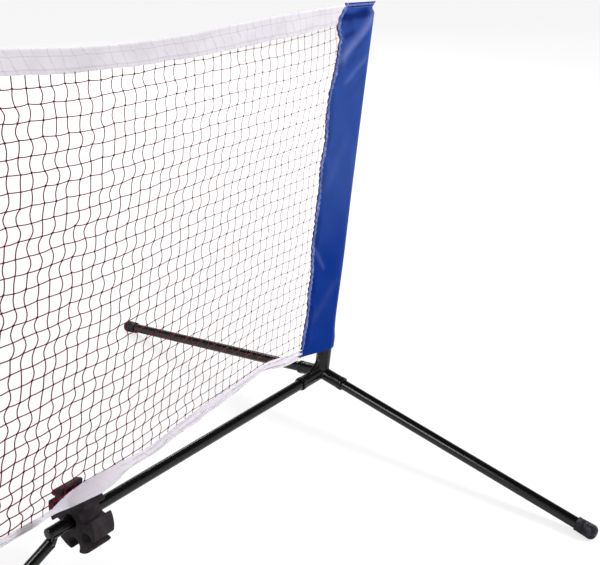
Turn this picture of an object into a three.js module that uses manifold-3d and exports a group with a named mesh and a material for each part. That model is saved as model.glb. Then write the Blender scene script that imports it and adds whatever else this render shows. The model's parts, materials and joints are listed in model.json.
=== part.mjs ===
// Portable badminton net post: the end frame of a low net on three feet.
// Two legs, the bottom rail and the leaning post push into one moulded hub. A short prop is
// hinged under the rail's far end. A blue cloth pocket drops over the post and carries the
// net between a top tape and a bottom tape. A six-armed clip on the rail stores loose tubes.
// Units are millimetres, +Z is up, the net runs towards -X and the front is -Y.

import * as THREE from 'three';
import { mergeVertices } from 'three/addons/utils/BufferGeometryUtils.js';
import Module from 'manifold-3d';

const wasm = await Module();
wasm.setup();

// General values
const degree = Math.PI / 180;
const gap = 0.3; // clearance between pieces that touch
const overrun = 5; // how far a cut passes the face that it opens
const facets = 24; // flat sides round a turned piece
const smallFacets = 16; // the same on a small pin

// Steel tubes
const tubeRadius = 11;
const tubeWall = 1.2;
const postRadius = 12.5;
const postWall = 1.2;
const propRadius = 9.5;
const propWall = 1.2;

// Legs and their rubber feet
const legSlope = 9 * degree;
const legReach = 699; // hub centre to the end of the foot
const footRadius = 13.5;
const footLength = 42;
const footCorner = 7;
const footEndWall = 7;
const footLipWidth = 1;
const soleDepth = 0.6; // how deep the floor flattens a foot

// Hub
const seatDepth = 16; // hub centre to the bottom of each socket
const hubCoreRadius = 17;
const legSocketRadius = 14.6;
const legSocketReach = 65;
const railSocketRadius = 14.5;
const railSocketReach = 79;
const postSocketRadius = 17.5;
const postSocketReach = 80;
const lipHeight = 0.9;
const lipLength = 10;
const lipEdge = 1.2;
const webThickness = 9;
const webPostHeight = 54; // where the web leaves the post socket
const webRailReach = 66; // where it meets the rail socket
const webWaistReach = 17;
const webWaistHeight = 20;
const webRailHeight = 13;

// Rail, its end plug and the hinge under it
const railReach = 776; // hub centre to the end of the plug
const plugFlange = 5;
const plugEdge = 3;
const plugDepth = 18;
const hingeDrop = 20;
const pinRadius = 3;
const pinHeadRadius = 5;
const pinHeadHeight = 1.5;
const tongueThickness = 9;
const tongueRadius = 6;
const earThickness = 2.5;
const earRadius = 7;
const saddleWall = 2;
const saddleLength = 20;
const saddleOpening = 2; // how far under the rail's axis the saddle ends

// Prop leg
const propSlope = 25 * degree;
const collarStart = 8;
const collarLength = 10;
const collarRadius = 10.8;
const collarEdge = 0.8;
const collarPlugDepth = 20;
const propFootRadius = 12;
const propFootLength = 36;
const propFootCorner = 6;

// Storage clip on the rail
const clipSpacing = 51; // between the clip and the rail's end
const clipLength = 47;
const clipRadius = 65;
const clipEdge = 1.5;
const clipArms = 6;
const clipTurn = 5.5 * degree; // first arm's angle above the front
const clipSocketRadius = 14.5;
const clipPitchRadius = 48;
const clipMouth = 22;
const clipLeadIn = 3;

// Post, leaning away from the net
const postLean = 8.5 * degree;
const postTop = 790; // along the post from the hub centre
const capRadius = 13.6;
const capSkirt = 12;
const capWall = 2.2;
const capDome = 6;

// Blue pocket over the post; heights run along the post
const clothWall = 1.2;
const pocketOverlap = 23; // how far the pocket's seam comes down over the hub's socket
const pocketHeadroom = 36; // how far it stands over the post's end
const pocketRise = 11; // how much higher the bottom edge is on the post's side
const hemRise = 8; // how much higher the top edge is on the post's side
const pocketRadius = 15.4; // the cloth round the post
const pocketSkirtRadius = 20.2; // the cloth round the hub's socket
const seamReach = 92; // post axis to the seam's edge
const bindingWidth = 10;
const bindingThickness = 3;
const seamThickness = 2.4;
const hemHeight = 20;
const hemThickness = 2.4;
const hemFlare = 3; // how far the hem's free corner stands past the pocket
const pocketShoulder = 11; // height over which the pocket flattens under the hem
const foldDepth = 5; // how far the long slanting fold stands out of the front panel
const foldWidthShare = 0.16;

// Net and its tapes
const netReach = 880; // hub centre to the far edge
const tapeThickness = 2.6;
const topTapeHeight = 40;
const topTapeInset = 7.5; // the top tape's upper edge under the seam's top
const topTapeLift = 26; // how much the far end of the tape rises
const bottomTapeInset = 19; // the bottom tape's upper edge over the seam's bottom
const bottomTapeDrop = 47;
const bottomTapeHeight = 38;
const bottomTapeFold = 6; // least height of the tape where it is gathered
const bottomTapeClearance = 2.5; // the tape over the floor of the clip's top socket
const tapeSway = 4; // how far a tape waves out of the net's plane
const edgeTuck = 6; // how far tapes and strands reach under the edge that they are sewn to
const netRows = 12;
const netColumns = 18;
const strandWidth = 2.2;
const strandThickness = 1.8;

// Steps of the curved shapes
const arcSteps = 5;
const ringSteps = 10;
const panelSteps = 5;
const pocketRows = 12;
const hemRows = 3;
const halvings = 40;

// Sizes that follow from the ones above
const hubHeight = (legReach - footCorner) * Math.sin(legSlope)
  + (footRadius - footCorner) * Math.cos(legSlope) + footCorner - soleDepth;
const hingeReach = railReach - plugFlange;
const hingeHeight = hubHeight - hingeDrop;
const propReach = (hingeHeight - propFootCorner + soleDepth
  - (propFootRadius - propFootCorner) * Math.cos(propSlope)) / Math.sin(propSlope)
  + propFootCorner;
const saddleRadius = tubeRadius + gap + saddleWall;
const pinHalfLength = tongueThickness / 2 + gap + earThickness + gap;
const clipReach = railReach - clipSpacing - clipLength; // hub centre to the clip's near face
const pocketBottom = postSocketReach - pocketOverlap;
const pocketTop = postTop + pocketHeadroom;
const hemBottom = pocketTop - hemHeight;
const cavityTop = postTop + gap + capWall + capDome + 2 * gap;
const bottomTapeFloor = clipPitchRadius - clipSocketRadius + bottomTapeClearance;

// Profiles and outlines as hand-picked shares of those sizes, from the bottom up
const seamShares = [
  [0, 1], [0.07, 0.95], [0.15, 0.93], [0.25, 0.95], [0.36, 1.03], [0.47, 1.02],
  [0.56, 1.05], [0.64, 1.02], [0.77, 1.07], [0.85, 0.94], [0.93, 1], [1, 0.85],
];
const topTapeShares = [
  [0, 0], [0.2, 0.2], [0.35, 0.02], [0.46, -0.12], [0.6, 0], [0.72, 0.3], [0.86, 0.9], [1, 1.2],
];
const bottomTapeShares = [
  [0, 0], [0.08, -0.2], [0.16, -0.34], [0.24, -0.18], [0.4, 0.35], [0.57, 0.72],
  [0.68, 0.58], [0.76, 0.5], [0.86, 0.98], [1, 0.8],
];
const bottomTapeHeightShares = [
  [0, 0.6], [0.16, 0.5], [0.26, 0.62], [0.42, 0.6], [0.57, 0.45], [0.64, 0.6],
  [0.76, 0.85], [0.86, 0.35], [1, 0.42],
];
const swayShares = [
  [0, 0], [0.1, 0.5], [0.25, -0.6], [0.4, 0.7], [0.55, -0.5], [0.7, 0.5], [0.85, -0.3], [1, 0.4],
];

// A smooth line through a table of shares
function along(table, share) {
  const last = table.length - 1;
  let k = 0;
  while (k < last - 1 && share > table[k + 1][0]) {
    k += 1;
  }
  const [x0, y0] = table[k];
  const [x1, y1] = table[k + 1];
  const t = Math.min(1, Math.max(0, (share - x0) / (x1 - x0)));
  const eased = t * t * (3 - 2 * t);
  return y0 + (y1 - y0) * eased;
}

// A solid of revolution round +Z; the profile is a list of [radius, height] that closes on the axis
function turned(profile, sides = facets) {
  const points = profile.map(([radius, height]) => new THREE.Vector2(radius, height));
  const geometry = new THREE.LatheGeometry(points, sides);
  geometry.rotateX(Math.PI / 2);
  return geometry;
}

function rod(radius, from, to, sides = facets) {
  return turned([[0, from], [radius, from], [radius, to], [0, to]], sides);
}

function pipe(radius, wall, from, to) {
  const inner = radius - wall;
  return turned([[inner, from], [radius, from], [radius, to], [inner, to], [inner, from]]);
}

// The rounded end of a profile, from [radius, height - rise] inwards and up to height
function roundedEnd(radius, height, inset, rise) {
  return Array.from({ length: arcSteps + 1 }, (_, k) => {
    const angle = (k / arcSteps) * (Math.PI / 2);
    return [radius - inset + inset * Math.cos(angle), height - rise + rise * Math.sin(angle)];
  });
}

// A plate from an outline in the X-Z plane, centred on Y = 0
function plate(shape, thickness, curveSegments) {
  const options = { depth: thickness, bevelEnabled: false, curveSegments };
  const geometry = new THREE.ExtrudeGeometry(shape, options);
  geometry.translate(0, 0, -thickness / 2);
  geometry.rotateX(Math.PI / 2);
  return geometry;
}

// Booleans
function solid(geometry, matrix) {
  const clean = geometry.clone();
  clean.deleteAttribute('normal');
  clean.deleteAttribute('uv');
  if (matrix) {
    clean.applyMatrix4(matrix);
  }
  const merged = mergeVertices(clean);
  return new wasm.Manifold(new wasm.Mesh({
    numProp: 3,
    vertProperties: new Float32Array(merged.attributes.position.array),
    triVerts: new Uint32Array(merged.index.array),
  }));
}

function geometryOf(body) {
  const mesh = body.getMesh();
  const positions = new Float32Array(mesh.vertProperties);
  const geometry = new THREE.BufferGeometry();
  geometry.setAttribute('position', new THREE.BufferAttribute(positions, mesh.numProp));
  geometry.setIndex(new THREE.BufferAttribute(new Uint32Array(mesh.triVerts), 1));
  geometry.computeVertexNormals();
  return geometry;
}

// A closed solid through rings of points, each ring running the same way round
function loft(rings) {
  const count = rings[0].length;
  const positions = [];
  const faces = [];
  rings.forEach((ring) => ring.forEach((p) => positions.push(p.x, p.y, p.z)));
  for (let r = 0; r < rings.length - 1; r += 1) {
    for (let k = 0; k < count; k += 1) {
      const a = r * count + k;
      const b = r * count + (k + 1) % count;
      faces.push(a, b, b + count, a, b + count, a + count);
    }
  }
  [0, rings.length - 1].forEach((r) => {
    const centre = new THREE.Vector3();
    rings[r].forEach((p) => centre.add(p));
    centre.divideScalar(count);
    const middle = positions.length / 3;
    positions.push(centre.x, centre.y, centre.z);
    for (let k = 0; k < count; k += 1) {
      const a = r * count + k;
      const b = r * count + (k + 1) % count;
      faces.push(...(r === 0 ? [middle, b, a] : [middle, a, b]));
    }
  });
  const geometry = new THREE.BufferGeometry();
  geometry.setAttribute('position', new THREE.Float32BufferAttribute(positions, 3));
  geometry.setIndex(faces);
  geometry.computeVertexNormals();
  return geometry;
}

// Materials
function finish(color, roughness, metalness) {
  return new THREE.MeshStandardMaterial({ color, roughness, metalness });
}
const blackPaint = finish(0x0b0b0d, 0.35, 0.3);
const blackPlastic = finish(0x141416, 0.5, 0);
const darkRubber = finish(0x3a3a3d, 0.85, 0);
const charcoalPlastic = finish(0x47433f, 0.7, 0);
const steel = finish(0x8c8d90, 0.35, 1);
const blueCloth = finish(0x0a3c96, 0.6, 0);
const blueBinding = finish(0x2b57b5, 0.7, 0);
const whiteTape = finish(0xf0eef4, 0.8, 0);
const maroonCord = finish(0x4a1520, 0.8, 0);

function piece(name, geometry, material) {
  const mesh = new THREE.Mesh(geometry, material);
  mesh.name = name;
  return mesh;
}

// Frames: the +Z of each is the direction of one tube
const legFrame = new THREE.Matrix4().makeRotationX(Math.PI / 2 + legSlope);
const rearFrame = new THREE.Matrix4().makeRotationZ(Math.PI).multiply(legFrame);
const railFrame = new THREE.Matrix4().makeRotationY(-Math.PI / 2);
const postFrame = new THREE.Matrix4().makeRotationY(postLean);

// Hub: four sockets, a round core and a curved web between the post and the rail
function socketProfile(radius, reach) {
  const lip = radius + lipHeight;
  return [
    [0, 0], [radius, 0], [radius, reach - lipLength - lipHeight], [lip, reach - lipLength],
    [lip, reach - lipEdge], [lip - lipEdge, reach], [0, reach],
  ];
}

function makeHub() {
  let body = solid(new THREE.SphereGeometry(hubCoreRadius, facets, smallFacets));
  const sockets = [
    [legFrame, legSocketRadius, legSocketReach, tubeRadius],
    [rearFrame, legSocketRadius, legSocketReach, tubeRadius],
    [railFrame, railSocketRadius, railSocketReach, tubeRadius],
    [postFrame, postSocketRadius - lipHeight, postSocketReach, postRadius],
  ];
  for (const [frame, radius, reach] of sockets) {
    body = body.add(solid(turned(socketProfile(radius, reach)), frame));
  }
  const web = new THREE.Shape();
  const postSide = (height) => height * Math.tan(postLean);
  web.moveTo(postSide(webPostHeight), webPostHeight);
  web.lineTo(postSide(webPostHeight) - postSocketRadius, webPostHeight);
  web.quadraticCurveTo(-webWaistReach, webWaistHeight, -webRailReach, webRailHeight);
  web.lineTo(-webRailReach, 0);
  web.lineTo(0, 0);
  body = body.add(solid(plate(web, webThickness, facets / 2)));
  for (const [frame, , reach, tube] of sockets) {
    body = body.subtract(solid(rod(tube + gap, seatDepth, reach + overrun), frame));
  }
  return geometryOf(body);
}

// A rubber foot on a tube that slopes down to the floor; -Y is the floor's side
function makeFoot(tube, radius, length, corner, reach, slope, height) {
  const mouth = reach - length;
  const outer = turned([
    [0, mouth], [radius - footLipWidth, mouth], [radius, mouth + footLipWidth],
    ...roundedEnd(radius, reach, corner, corner), [0, reach],
  ]);
  const bore = rod(tube + gap, mouth - overrun, reach - footEndWall);
  const floor = new THREE.BoxGeometry(length * 2, length, length * 2);
  floor.translate(0, -length / 2, 0);
  floor.rotateX(-slope);
  const ahead = reach - height * Math.sin(slope);
  floor.translate(0, ahead * Math.tan(slope) - height * Math.cos(slope), reach);
  return geometryOf(solid(outer).subtract(solid(bore)).subtract(solid(floor)));
}

function makeLeg(side) {
  const leg = new THREE.Group();
  leg.rotation.x = Math.PI / 2 + legSlope;
  const tube = pipe(tubeRadius, tubeWall, seatDepth + gap, legReach - footEndWall - gap);
  const foot = makeFoot(
    tubeRadius, footRadius, footLength, footCorner, legReach, legSlope, hubHeight,
  );
  leg.add(piece(`${side}_leg_tube`, tube, blackPaint));
  leg.add(piece(`${side}_leg_foot`, foot, darkRubber));
  const turn = new THREE.Group();
  turn.rotation.z = side === 'rear' ? Math.PI : 0;
  turn.add(leg);
  return turn;
}

// Rail end: a plug, a saddle with two ears welded under the tube, and the hinge pin
function makeRailPlug() {
  const plug = tubeRadius - tubeWall - gap;
  const face = railReach - plugFlange;
  return turned([
    [0, face - plugDepth], [plug, face - plugDepth], [plug, face], [tubeRadius, face],
    [tubeRadius, railReach - plugEdge], [tubeRadius - plugEdge, railReach], [0, railReach],
  ]);
}

function makeHingeBracket() {
  const from = hingeReach - saddleLength;
  let body = solid(pipe(saddleRadius, saddleWall, from, hingeReach));
  const upper = new THREE.BoxGeometry(saddleRadius * 2, saddleRadius * 3, saddleLength * 2);
  upper.translate(saddleRadius - saddleOpening, 0, hingeReach - saddleLength / 2);
  body = body.subtract(solid(upper));
  // In this frame +X is up and +Z points along the rail
  const ear = new THREE.Shape();
  ear.moveTo(-tubeRadius + tubeWall, from);
  ear.lineTo(-tubeRadius - saddleWall, from);
  ear.lineTo(-hingeDrop - earRadius, hingeReach - earRadius / 2);
  ear.absarc(-hingeDrop, hingeReach, earRadius, Math.PI, 0, true);
  ear.lineTo(-tubeRadius + tubeWall, hingeReach);
  const offset = tongueThickness / 2 + gap + earThickness / 2;
  for (const side of [-1, 1]) {
    const flat = plate(ear, earThickness, smallFacets);
    flat.translate(0, side * offset, 0);
    body = body.add(solid(flat));
  }
  body = body.subtract(solid(rod(tubeRadius + gap, from - overrun, hingeReach + overrun)));
  const hole = rod(pinRadius + gap, -collarRadius, collarRadius, smallFacets);
  hole.rotateX(Math.PI / 2);
  hole.translate(-hingeDrop, 0, hingeReach);
  return geometryOf(body.subtract(solid(hole)));
}

function makeHingePin() {
  const head = pinHalfLength + pinHeadHeight;
  const geometry = turned([
    [0, -head], [pinHeadRadius, -head], [pinHeadRadius, -pinHalfLength], [pinRadius, -pinHalfLength],
    [pinRadius, pinHalfLength], [pinHeadRadius, pinHalfLength], [pinHeadRadius, head], [0, head],
  ], smallFacets);
  geometry.rotateX(Math.PI / 2);
  return geometry;
}

// Prop: a knuckle with a tongue between the ears, a tube and a foot; +Z runs down the prop
function makeKnuckle() {
  const collarEnd = collarStart + collarLength;
  const collarInner = collarRadius - collarEdge;
  const outline = new THREE.Shape();
  outline.moveTo(tongueRadius, 0);
  outline.lineTo(tongueRadius, collarStart + collarEdge);
  outline.lineTo(-tongueRadius, collarStart + collarEdge);
  outline.lineTo(-tongueRadius, 0);
  outline.absarc(0, 0, tongueRadius, Math.PI, 2 * Math.PI, false);
  let body = solid(plate(outline, tongueThickness, smallFacets));
  const plug = propRadius - propWall - gap;
  body = body.add(solid(turned([
    [0, collarStart], [collarInner, collarStart], [collarRadius, collarStart + collarEdge],
    [collarRadius, collarEnd - collarEdge], [collarInner, collarEnd], [plug, collarEnd],
    [plug, collarEnd + collarPlugDepth], [0, collarEnd + collarPlugDepth],
  ])));
  const hole = rod(pinRadius + gap, -collarRadius, collarRadius, smallFacets);
  hole.rotateX(Math.PI / 2);
  return geometryOf(body.subtract(solid(hole)));
}

function makeProp() {
  const prop = new THREE.Group();
  const tubeStart = collarStart + collarLength + gap;
  const tube = pipe(propRadius, propWall, tubeStart, propReach - footEndWall - gap);
  const foot = makeFoot(
    propRadius, propFootRadius, propFootLength, propFootCorner, propReach, propSlope, hingeHeight,
  );
  foot.rotateZ(-Math.PI / 2);
  prop.add(piece('prop_knuckle', makeKnuckle(), blackPlastic));
  prop.add(piece('prop_tube', tube, blackPaint));
  prop.add(piece('prop_foot', foot, darkRubber));
  return prop;
}

// Storage clip: a disc with a bore for the rail and open sockets between its arms
function makeClip() {
  const face = clipRadius - clipEdge;
  let body = solid(turned([
    [0, 0], [face, 0], [clipRadius, clipEdge], [clipRadius, clipLength - clipEdge],
    [face, clipLength], [0, clipLength],
  ], facets * 2));
  for (let k = 0; k < clipArms; k += 1) {
    const angle = clipTurn + (k + 1 / 2) * (2 * Math.PI / clipArms);
    const socket = rod(clipSocketRadius, -overrun, clipLength + overrun);
    socket.translate(clipPitchRadius, 0, 0);
    socket.rotateZ(angle);
    const mouth = new THREE.BoxGeometry(clipRadius, clipMouth, clipLength + 2 * overrun);
    mouth.translate(clipPitchRadius + clipRadius / 2, 0, clipLength / 2);
    mouth.rotateZ(angle);
    body = body.subtract(solid(socket)).subtract(solid(mouth));
  }
  const bore = tubeRadius + gap;
  const funnel = bore + clipLeadIn + overrun;
  const passage = turned([
    [0, -overrun], [funnel, -overrun], [bore, clipLeadIn], [bore, clipLength - clipLeadIn],
    [funnel, clipLength + overrun], [0, clipLength + overrun],
  ]);
  return geometryOf(body.subtract(solid(passage)));
}

// Domed cap on the post's end
function makePostCap() {
  const mouth = postTop - capSkirt;
  const top = postTop + gap + capWall + capDome;
  const outer = turned([[0, mouth], [capRadius, mouth], ...roundedEnd(capRadius, top, capRadius, capDome)]);
  const bore = rod(postRadius + gap, mouth - overrun, postTop + gap);
  return geometryOf(solid(outer).subtract(solid(bore)));
}

// Pocket: the cloth goes round the post and both panels meet at the seam towards the net
function seamAt(height) {
  return seamReach * along(seamShares, (height - pocketBottom) / (pocketTop - pocketBottom));
}

// One level of the pocket: round the post, along the rear panel and back along the front panel
function pocketRing({ height, rise = 0, radius, seam, flatness = 1, halfSeam, fold }) {
  const ring = [];
  const tangent = Math.PI - Math.acos(radius / seam);
  for (let k = 0; k <= ringSteps; k += 1) {
    const angle = -tangent + (2 * tangent * k) / ringSteps;
    ring.push([radius * Math.cos(angle), flatness * radius * Math.sin(angle)]);
  }
  const [panelX, panelY] = ring[ringSteps];
  const panelAt = (t) => [panelX + (-seam - panelX) * t, panelY + (halfSeam - panelY) * t];
  for (let k = 1; k <= panelSteps; k += 1) {
    ring.push(panelAt(k / panelSteps));
  }
  for (let k = panelSteps; k >= 1; k -= 1) {
    const [x, y] = panelAt(k / panelSteps);
    ring.push([x, -y - fold(k / panelSteps)]);
  }
  const climb = rise / (radius + seam);
  return ring.map(([x, y]) => new THREE.Vector3(x, y, height + climb * (x + seam)));
}

// The slanting fold runs from the top of the post down to the seam
function foldAt(height) {
  const share = (height - pocketBottom) / (pocketTop - pocketBottom);
  const centre = (hemBottom - height) / (seamReach * 3 / 2);
  const inside = share < 1 && centre > 0 && centre < 1 ? Math.sin(Math.PI * centre) : 0;
  return (t) => foldDepth * inside * Math.exp(-(((t - centre) / foldWidthShare) ** 2));
}

// The pocket, the hem and the binding share their stations, so that their edges stay parallel
function evenly(from, to, count) {
  return Array.from({ length: count }, (_, k) => from + ((to - from) * (k + 1)) / count);
}
const skirtTop = postSocketReach + pocketRadius * 2;
const pocketHeights = [
  pocketBottom, postSocketReach, skirtTop, ...evenly(skirtTop, cavityTop, pocketRows),
];
const hemHeights = [hemBottom, ...evenly(hemBottom, pocketTop, hemRows)];

function makePocket() {
  const widthAt = (k) => (k < 2 ? pocketSkirtRadius : pocketRadius);
  const riseAt = (k) => (k === 0 ? pocketRise : 0);
  const outer = pocketHeights.map((height, k) => pocketRing({
    height,
    rise: riseAt(k),
    radius: widthAt(k),
    seam: seamAt(height) - bindingWidth - gap,
    halfSeam: seamThickness / 2,
    fold: foldAt(height),
  }));
  const last = hemBottom - gap;
  outer.push(pocketRing({
    height: last,
    radius: pocketRadius,
    seam: seamAt(last) - bindingWidth - gap,
    flatness: hemThickness / 2 / pocketRadius,
    halfSeam: seamThickness / 2,
    fold: foldAt(last),
  }));
  const inner = pocketHeights.map((height, k) => pocketRing({
    height: k === 0 ? height - overrun : height,
    rise: riseAt(k),
    radius: widthAt(k) - clothWall,
    seam: seamAt(height) - 3 / 2 * bindingWidth - clothWall,
    halfSeam: gap,
    fold: foldAt(height),
  }));
  return geometryOf(solid(loft(outer)).subtract(solid(loft(inner))));
}

// A flat strip through stations of two points [x, z] with their places along Y, thick along Y
function strip(stations, thickness) {
  return loft(stations.map(({ a, b, sway }) => [
    new THREE.Vector3(a[0], sway[0] - thickness / 2, a[1]),
    new THREE.Vector3(b[0], sway[1] - thickness / 2, b[1]),
    new THREE.Vector3(b[0], sway[1] + thickness / 2, b[1]),
    new THREE.Vector3(a[0], sway[0] + thickness / 2, a[1]),
  ]));
}

function makeHem() {
  const stations = hemHeights.map((height) => {
    const share = (height - hemBottom) / hemHeight;
    const near = pocketRadius - clothWall + (hemFlare + clothWall) * Math.max(0, 2 * share - 1);
    const far = seamAt(height) - bindingWidth - gap;
    return { a: [-far, height], b: [near, height + hemRise * share], sway: [0, 0] };
  });
  return strip(stations, hemThickness);
}

// A cutter is the same strip, grown by the clearance on its edge and thicker than the net's sway
function makeBinding(grow = 0, thickness = bindingThickness) {
  const heights = [...pocketHeights, hemBottom - gap, ...hemHeights];
  const stations = heights.map((height) => {
    const seam = seamAt(height);
    return { a: [-seam - grow, height], b: [-seam + bindingWidth, height], sway: [0, 0] };
  });
  return strip(stations, thickness);
}

// Net and tapes stand in the plane of the rail; their edge follows the binding
const cosLean = Math.cos(postLean);
const sinLean = Math.sin(postLean);

function bindingEdge(height, inward) {
  const reach = seamAt(height) - inward;
  return new THREE.Vector2(height * sinLean - reach * cosLean, height * cosLean + reach * sinLean);
}

// Where the binding's edge crosses a level, found by halving
function edgeAtLevel(level, inward) {
  let low = pocketBottom;
  let high = pocketTop;
  for (let k = 0; k < halvings; k += 1) {
    const middle = (low + high) / 2;
    if (bindingEdge(middle, inward).y > level) {
      high = middle;
    } else {
      low = middle;
    }
  }
  return bindingEdge(low, inward).x;
}

const topTapeLevel = bindingEdge(pocketTop, 0).y - topTapeInset;
const bottomTapeLevel = bindingEdge(pocketBottom, 0).y + bottomTapeInset;

function shareOfReach(x) {
  return Math.min(1, Math.max(0, -x / netReach));
}

function topTapeUpper(x) {
  return topTapeLevel + topTapeLift * along(topTapeShares, shareOfReach(x));
}

function topTapeLower(x) {
  return topTapeUpper(x) - topTapeHeight;
}

function bottomTapeUpper(x) {
  const hanging = bottomTapeLevel - bottomTapeDrop * along(bottomTapeShares, shareOfReach(x));
  return Math.max(bottomTapeFloor + bottomTapeFold, hanging);
}

function bottomTapeLower(x) {
  const height = bottomTapeHeight * along(bottomTapeHeightShares, shareOfReach(x));
  return Math.max(bottomTapeFloor, bottomTapeUpper(x) - height);
}

// Tapes and net are made a little too long and are cut back to the edge that they are sewn to
function makeTape(upper, lower, sway, thickness = tapeThickness) {
  const upperStart = edgeAtLevel(upper(0), edgeTuck);
  const lowerStart = edgeAtLevel(lower(0), edgeTuck);
  const stations = [];
  for (let k = 0; k <= netColumns; k += 1) {
    const share = k / netColumns;
    const top = upperStart + (-netReach - upperStart) * share;
    const bottom = lowerStart + (-netReach - lowerStart) * share;
    const out = sway * along(swayShares, share);
    stations.push({ a: [bottom, lower(bottom)], b: [top, upper(top)], sway: [out, 0] });
  }
  return strip(stations, thickness);
}

// The net hangs as a grid of strands between the tapes, blended from its four edges
function makeGrid() {
  const top = (x) => topTapeLower(x) + edgeTuck;
  const bottom = (x) => bottomTapeUpper(x) - edgeTuck;
  const rightTop = edgeAtLevel(top(0), edgeTuck);
  const rightBottom = edgeAtLevel(bottom(0), edgeTuck);
  const corner = {
    topRight: new THREE.Vector2(rightTop, top(rightTop)),
    bottomRight: new THREE.Vector2(rightBottom, bottom(rightBottom)),
    topLeft: new THREE.Vector2(-netReach, top(-netReach)),
    bottomLeft: new THREE.Vector2(-netReach, bottom(-netReach)),
  };
  const knot = (s, t) => {
    const level = corner.bottomRight.y + (corner.topRight.y - corner.bottomRight.y) * t;
    const right = new THREE.Vector2(edgeAtLevel(level, edgeTuck), level);
    const left = corner.bottomLeft.clone().lerp(corner.topLeft, t);
    const topX = corner.topRight.x + (corner.topLeft.x - corner.topRight.x) * s;
    const bottomX = corner.bottomRight.x + (corner.bottomLeft.x - corner.bottomRight.x) * s;
    const across = right.multiplyScalar(1 - s).add(left.multiplyScalar(s));
    const upright = new THREE.Vector2(bottomX, bottom(bottomX)).multiplyScalar(1 - t)
      .add(new THREE.Vector2(topX, top(topX)).multiplyScalar(t));
    const lowerMix = corner.bottomRight.clone().lerp(corner.bottomLeft, s).multiplyScalar(1 - t);
    const upperMix = corner.topRight.clone().lerp(corner.topLeft, s).multiplyScalar(t);
    return across.add(upright).sub(lowerMix).sub(upperMix);
  };
  const positions = [];
  const faces = [];
  const put = (p) => {
    positions.push(p.x, -strandThickness / 2, p.y, p.x, strandThickness / 2, p.y);
    return positions.length / 3 - 2;
  };
  const quad = (a, b, c, d) => faces.push(a, b, c, a, c, d);
  const knots = [];
  for (let i = 0; i <= netColumns; i += 1) {
    knots.push([]);
    for (let j = 0; j <= netRows; j += 1) {
      knots[i].push(put(knot(i / netColumns, j / netRows)));
    }
  }
  const at = (index) => new THREE.Vector2(positions[3 * index], positions[3 * index + 2]);
  for (let i = 0; i < netColumns; i += 1) {
    for (let j = 0; j < netRows; j += 1) {
      const frame = [knots[i][j], knots[i][j + 1], knots[i + 1][j + 1], knots[i + 1][j]];
      const corners = frame.map(at);
      const hole = corners.map((p, k) => {
        const toNext = corners[(k + 1) % 4].clone().sub(p).normalize();
        const toLast = corners[(k + 3) % 4].clone().sub(p).normalize();
        const inset = strandWidth / 2 / Math.abs(toNext.cross(toLast));
        return put(p.clone().add(toNext.add(toLast).multiplyScalar(inset)));
      });
      for (let k = 0; k < 4; k += 1) {
        const next = (k + 1) % 4;
        quad(frame[k], frame[next], hole[next], hole[k]);
        quad(hole[k] + 1, hole[next] + 1, frame[next] + 1, frame[k] + 1);
        quad(hole[k], hole[next], hole[next] + 1, hole[k] + 1);
      }
    }
  }
  for (let j = 0; j < netRows; j += 1) {
    const [near, far] = [knots[0], knots[netColumns]];
    quad(near[j + 1], near[j], near[j] + 1, near[j + 1] + 1);
    quad(far[j], far[j + 1], far[j + 1] + 1, far[j] + 1);
  }
  for (let i = 0; i < netColumns; i += 1) {
    const [here, next] = [knots[i], knots[i + 1]];
    quad(next[netRows], here[netRows], here[netRows] + 1, next[netRows] + 1);
    quad(here[0], next[0], next[0] + 1, here[0] + 1);
  }
  const geometry = new THREE.BufferGeometry();
  geometry.setAttribute('position', new THREE.Float32BufferAttribute(positions, 3));
  geometry.setIndex(faces);
  geometry.computeVertexNormals();
  return geometry;
}

const cutterThickness = tapeThickness + 4 * tapeSway;
const underTopTape = (x) => topTapeLower(x) - gap;
const overBottomTape = (x) => bottomTapeUpper(x) + gap;
const bindingCutter = solid(makeBinding(gap, cutterThickness), postFrame);
const topCutter = solid(makeTape(topTapeUpper, underTopTape, 0, cutterThickness));
const bottomCutter = solid(makeTape(overBottomTape, bottomTapeLower, 0, cutterThickness));

function makeTopTape() {
  return geometryOf(solid(makeTape(topTapeUpper, topTapeLower, 0)).subtract(bindingCutter));
}

function makeBottomTape() {
  const tape = makeTape(bottomTapeUpper, bottomTapeLower, tapeSway);
  return geometryOf(solid(tape).subtract(bindingCutter));
}

function makeNet() {
  const cutters = bindingCutter.add(topCutter).add(bottomCutter);
  return geometryOf(solid(makeGrid()).subtract(cutters));
}

// Assembly
const frame = new THREE.Group();
frame.position.z = hubHeight;

frame.add(piece('hub', makeHub(), blackPlastic));
frame.add(makeLeg('front'));
frame.add(makeLeg('rear'));

const rail = new THREE.Group();
const railTube = pipe(tubeRadius, tubeWall, seatDepth + gap, railReach - plugFlange - gap);
rail.rotation.y = -Math.PI / 2;
rail.add(piece('rail_tube', railTube, blackPaint));
rail.add(piece('rail_end_plug', makeRailPlug(), blackPlastic));
rail.add(piece('hinge_bracket', makeHingeBracket(), blackPaint));
const clip = piece('storage_clip', makeClip(), charcoalPlastic);
clip.position.z = clipReach;
clip.rotation.z = -Math.PI / 2;
rail.add(clip);
frame.add(rail);

const pin = piece('hinge_pin', makeHingePin(), steel);
pin.position.set(-hingeReach, 0, -hingeDrop);
frame.add(pin);

const prop = makeProp();
prop.position.set(-hingeReach, 0, -hingeDrop);
prop.rotation.y = -(Math.PI / 2 + propSlope);
frame.add(prop);

const post = new THREE.Group();
const postTube = pipe(postRadius, postWall, seatDepth + gap, postTop);
post.rotation.y = postLean;
post.add(piece('post_tube', postTube, blackPaint));
post.add(piece('post_top_cap', makePostCap(), blackPlastic));
post.add(piece('net_sleeve', makePocket(), blueCloth));
post.add(piece('sleeve_top_hem', makeHem(), blueCloth));
post.add(piece('sleeve_seam_binding', makeBinding(), blueBinding));
frame.add(post);

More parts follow.
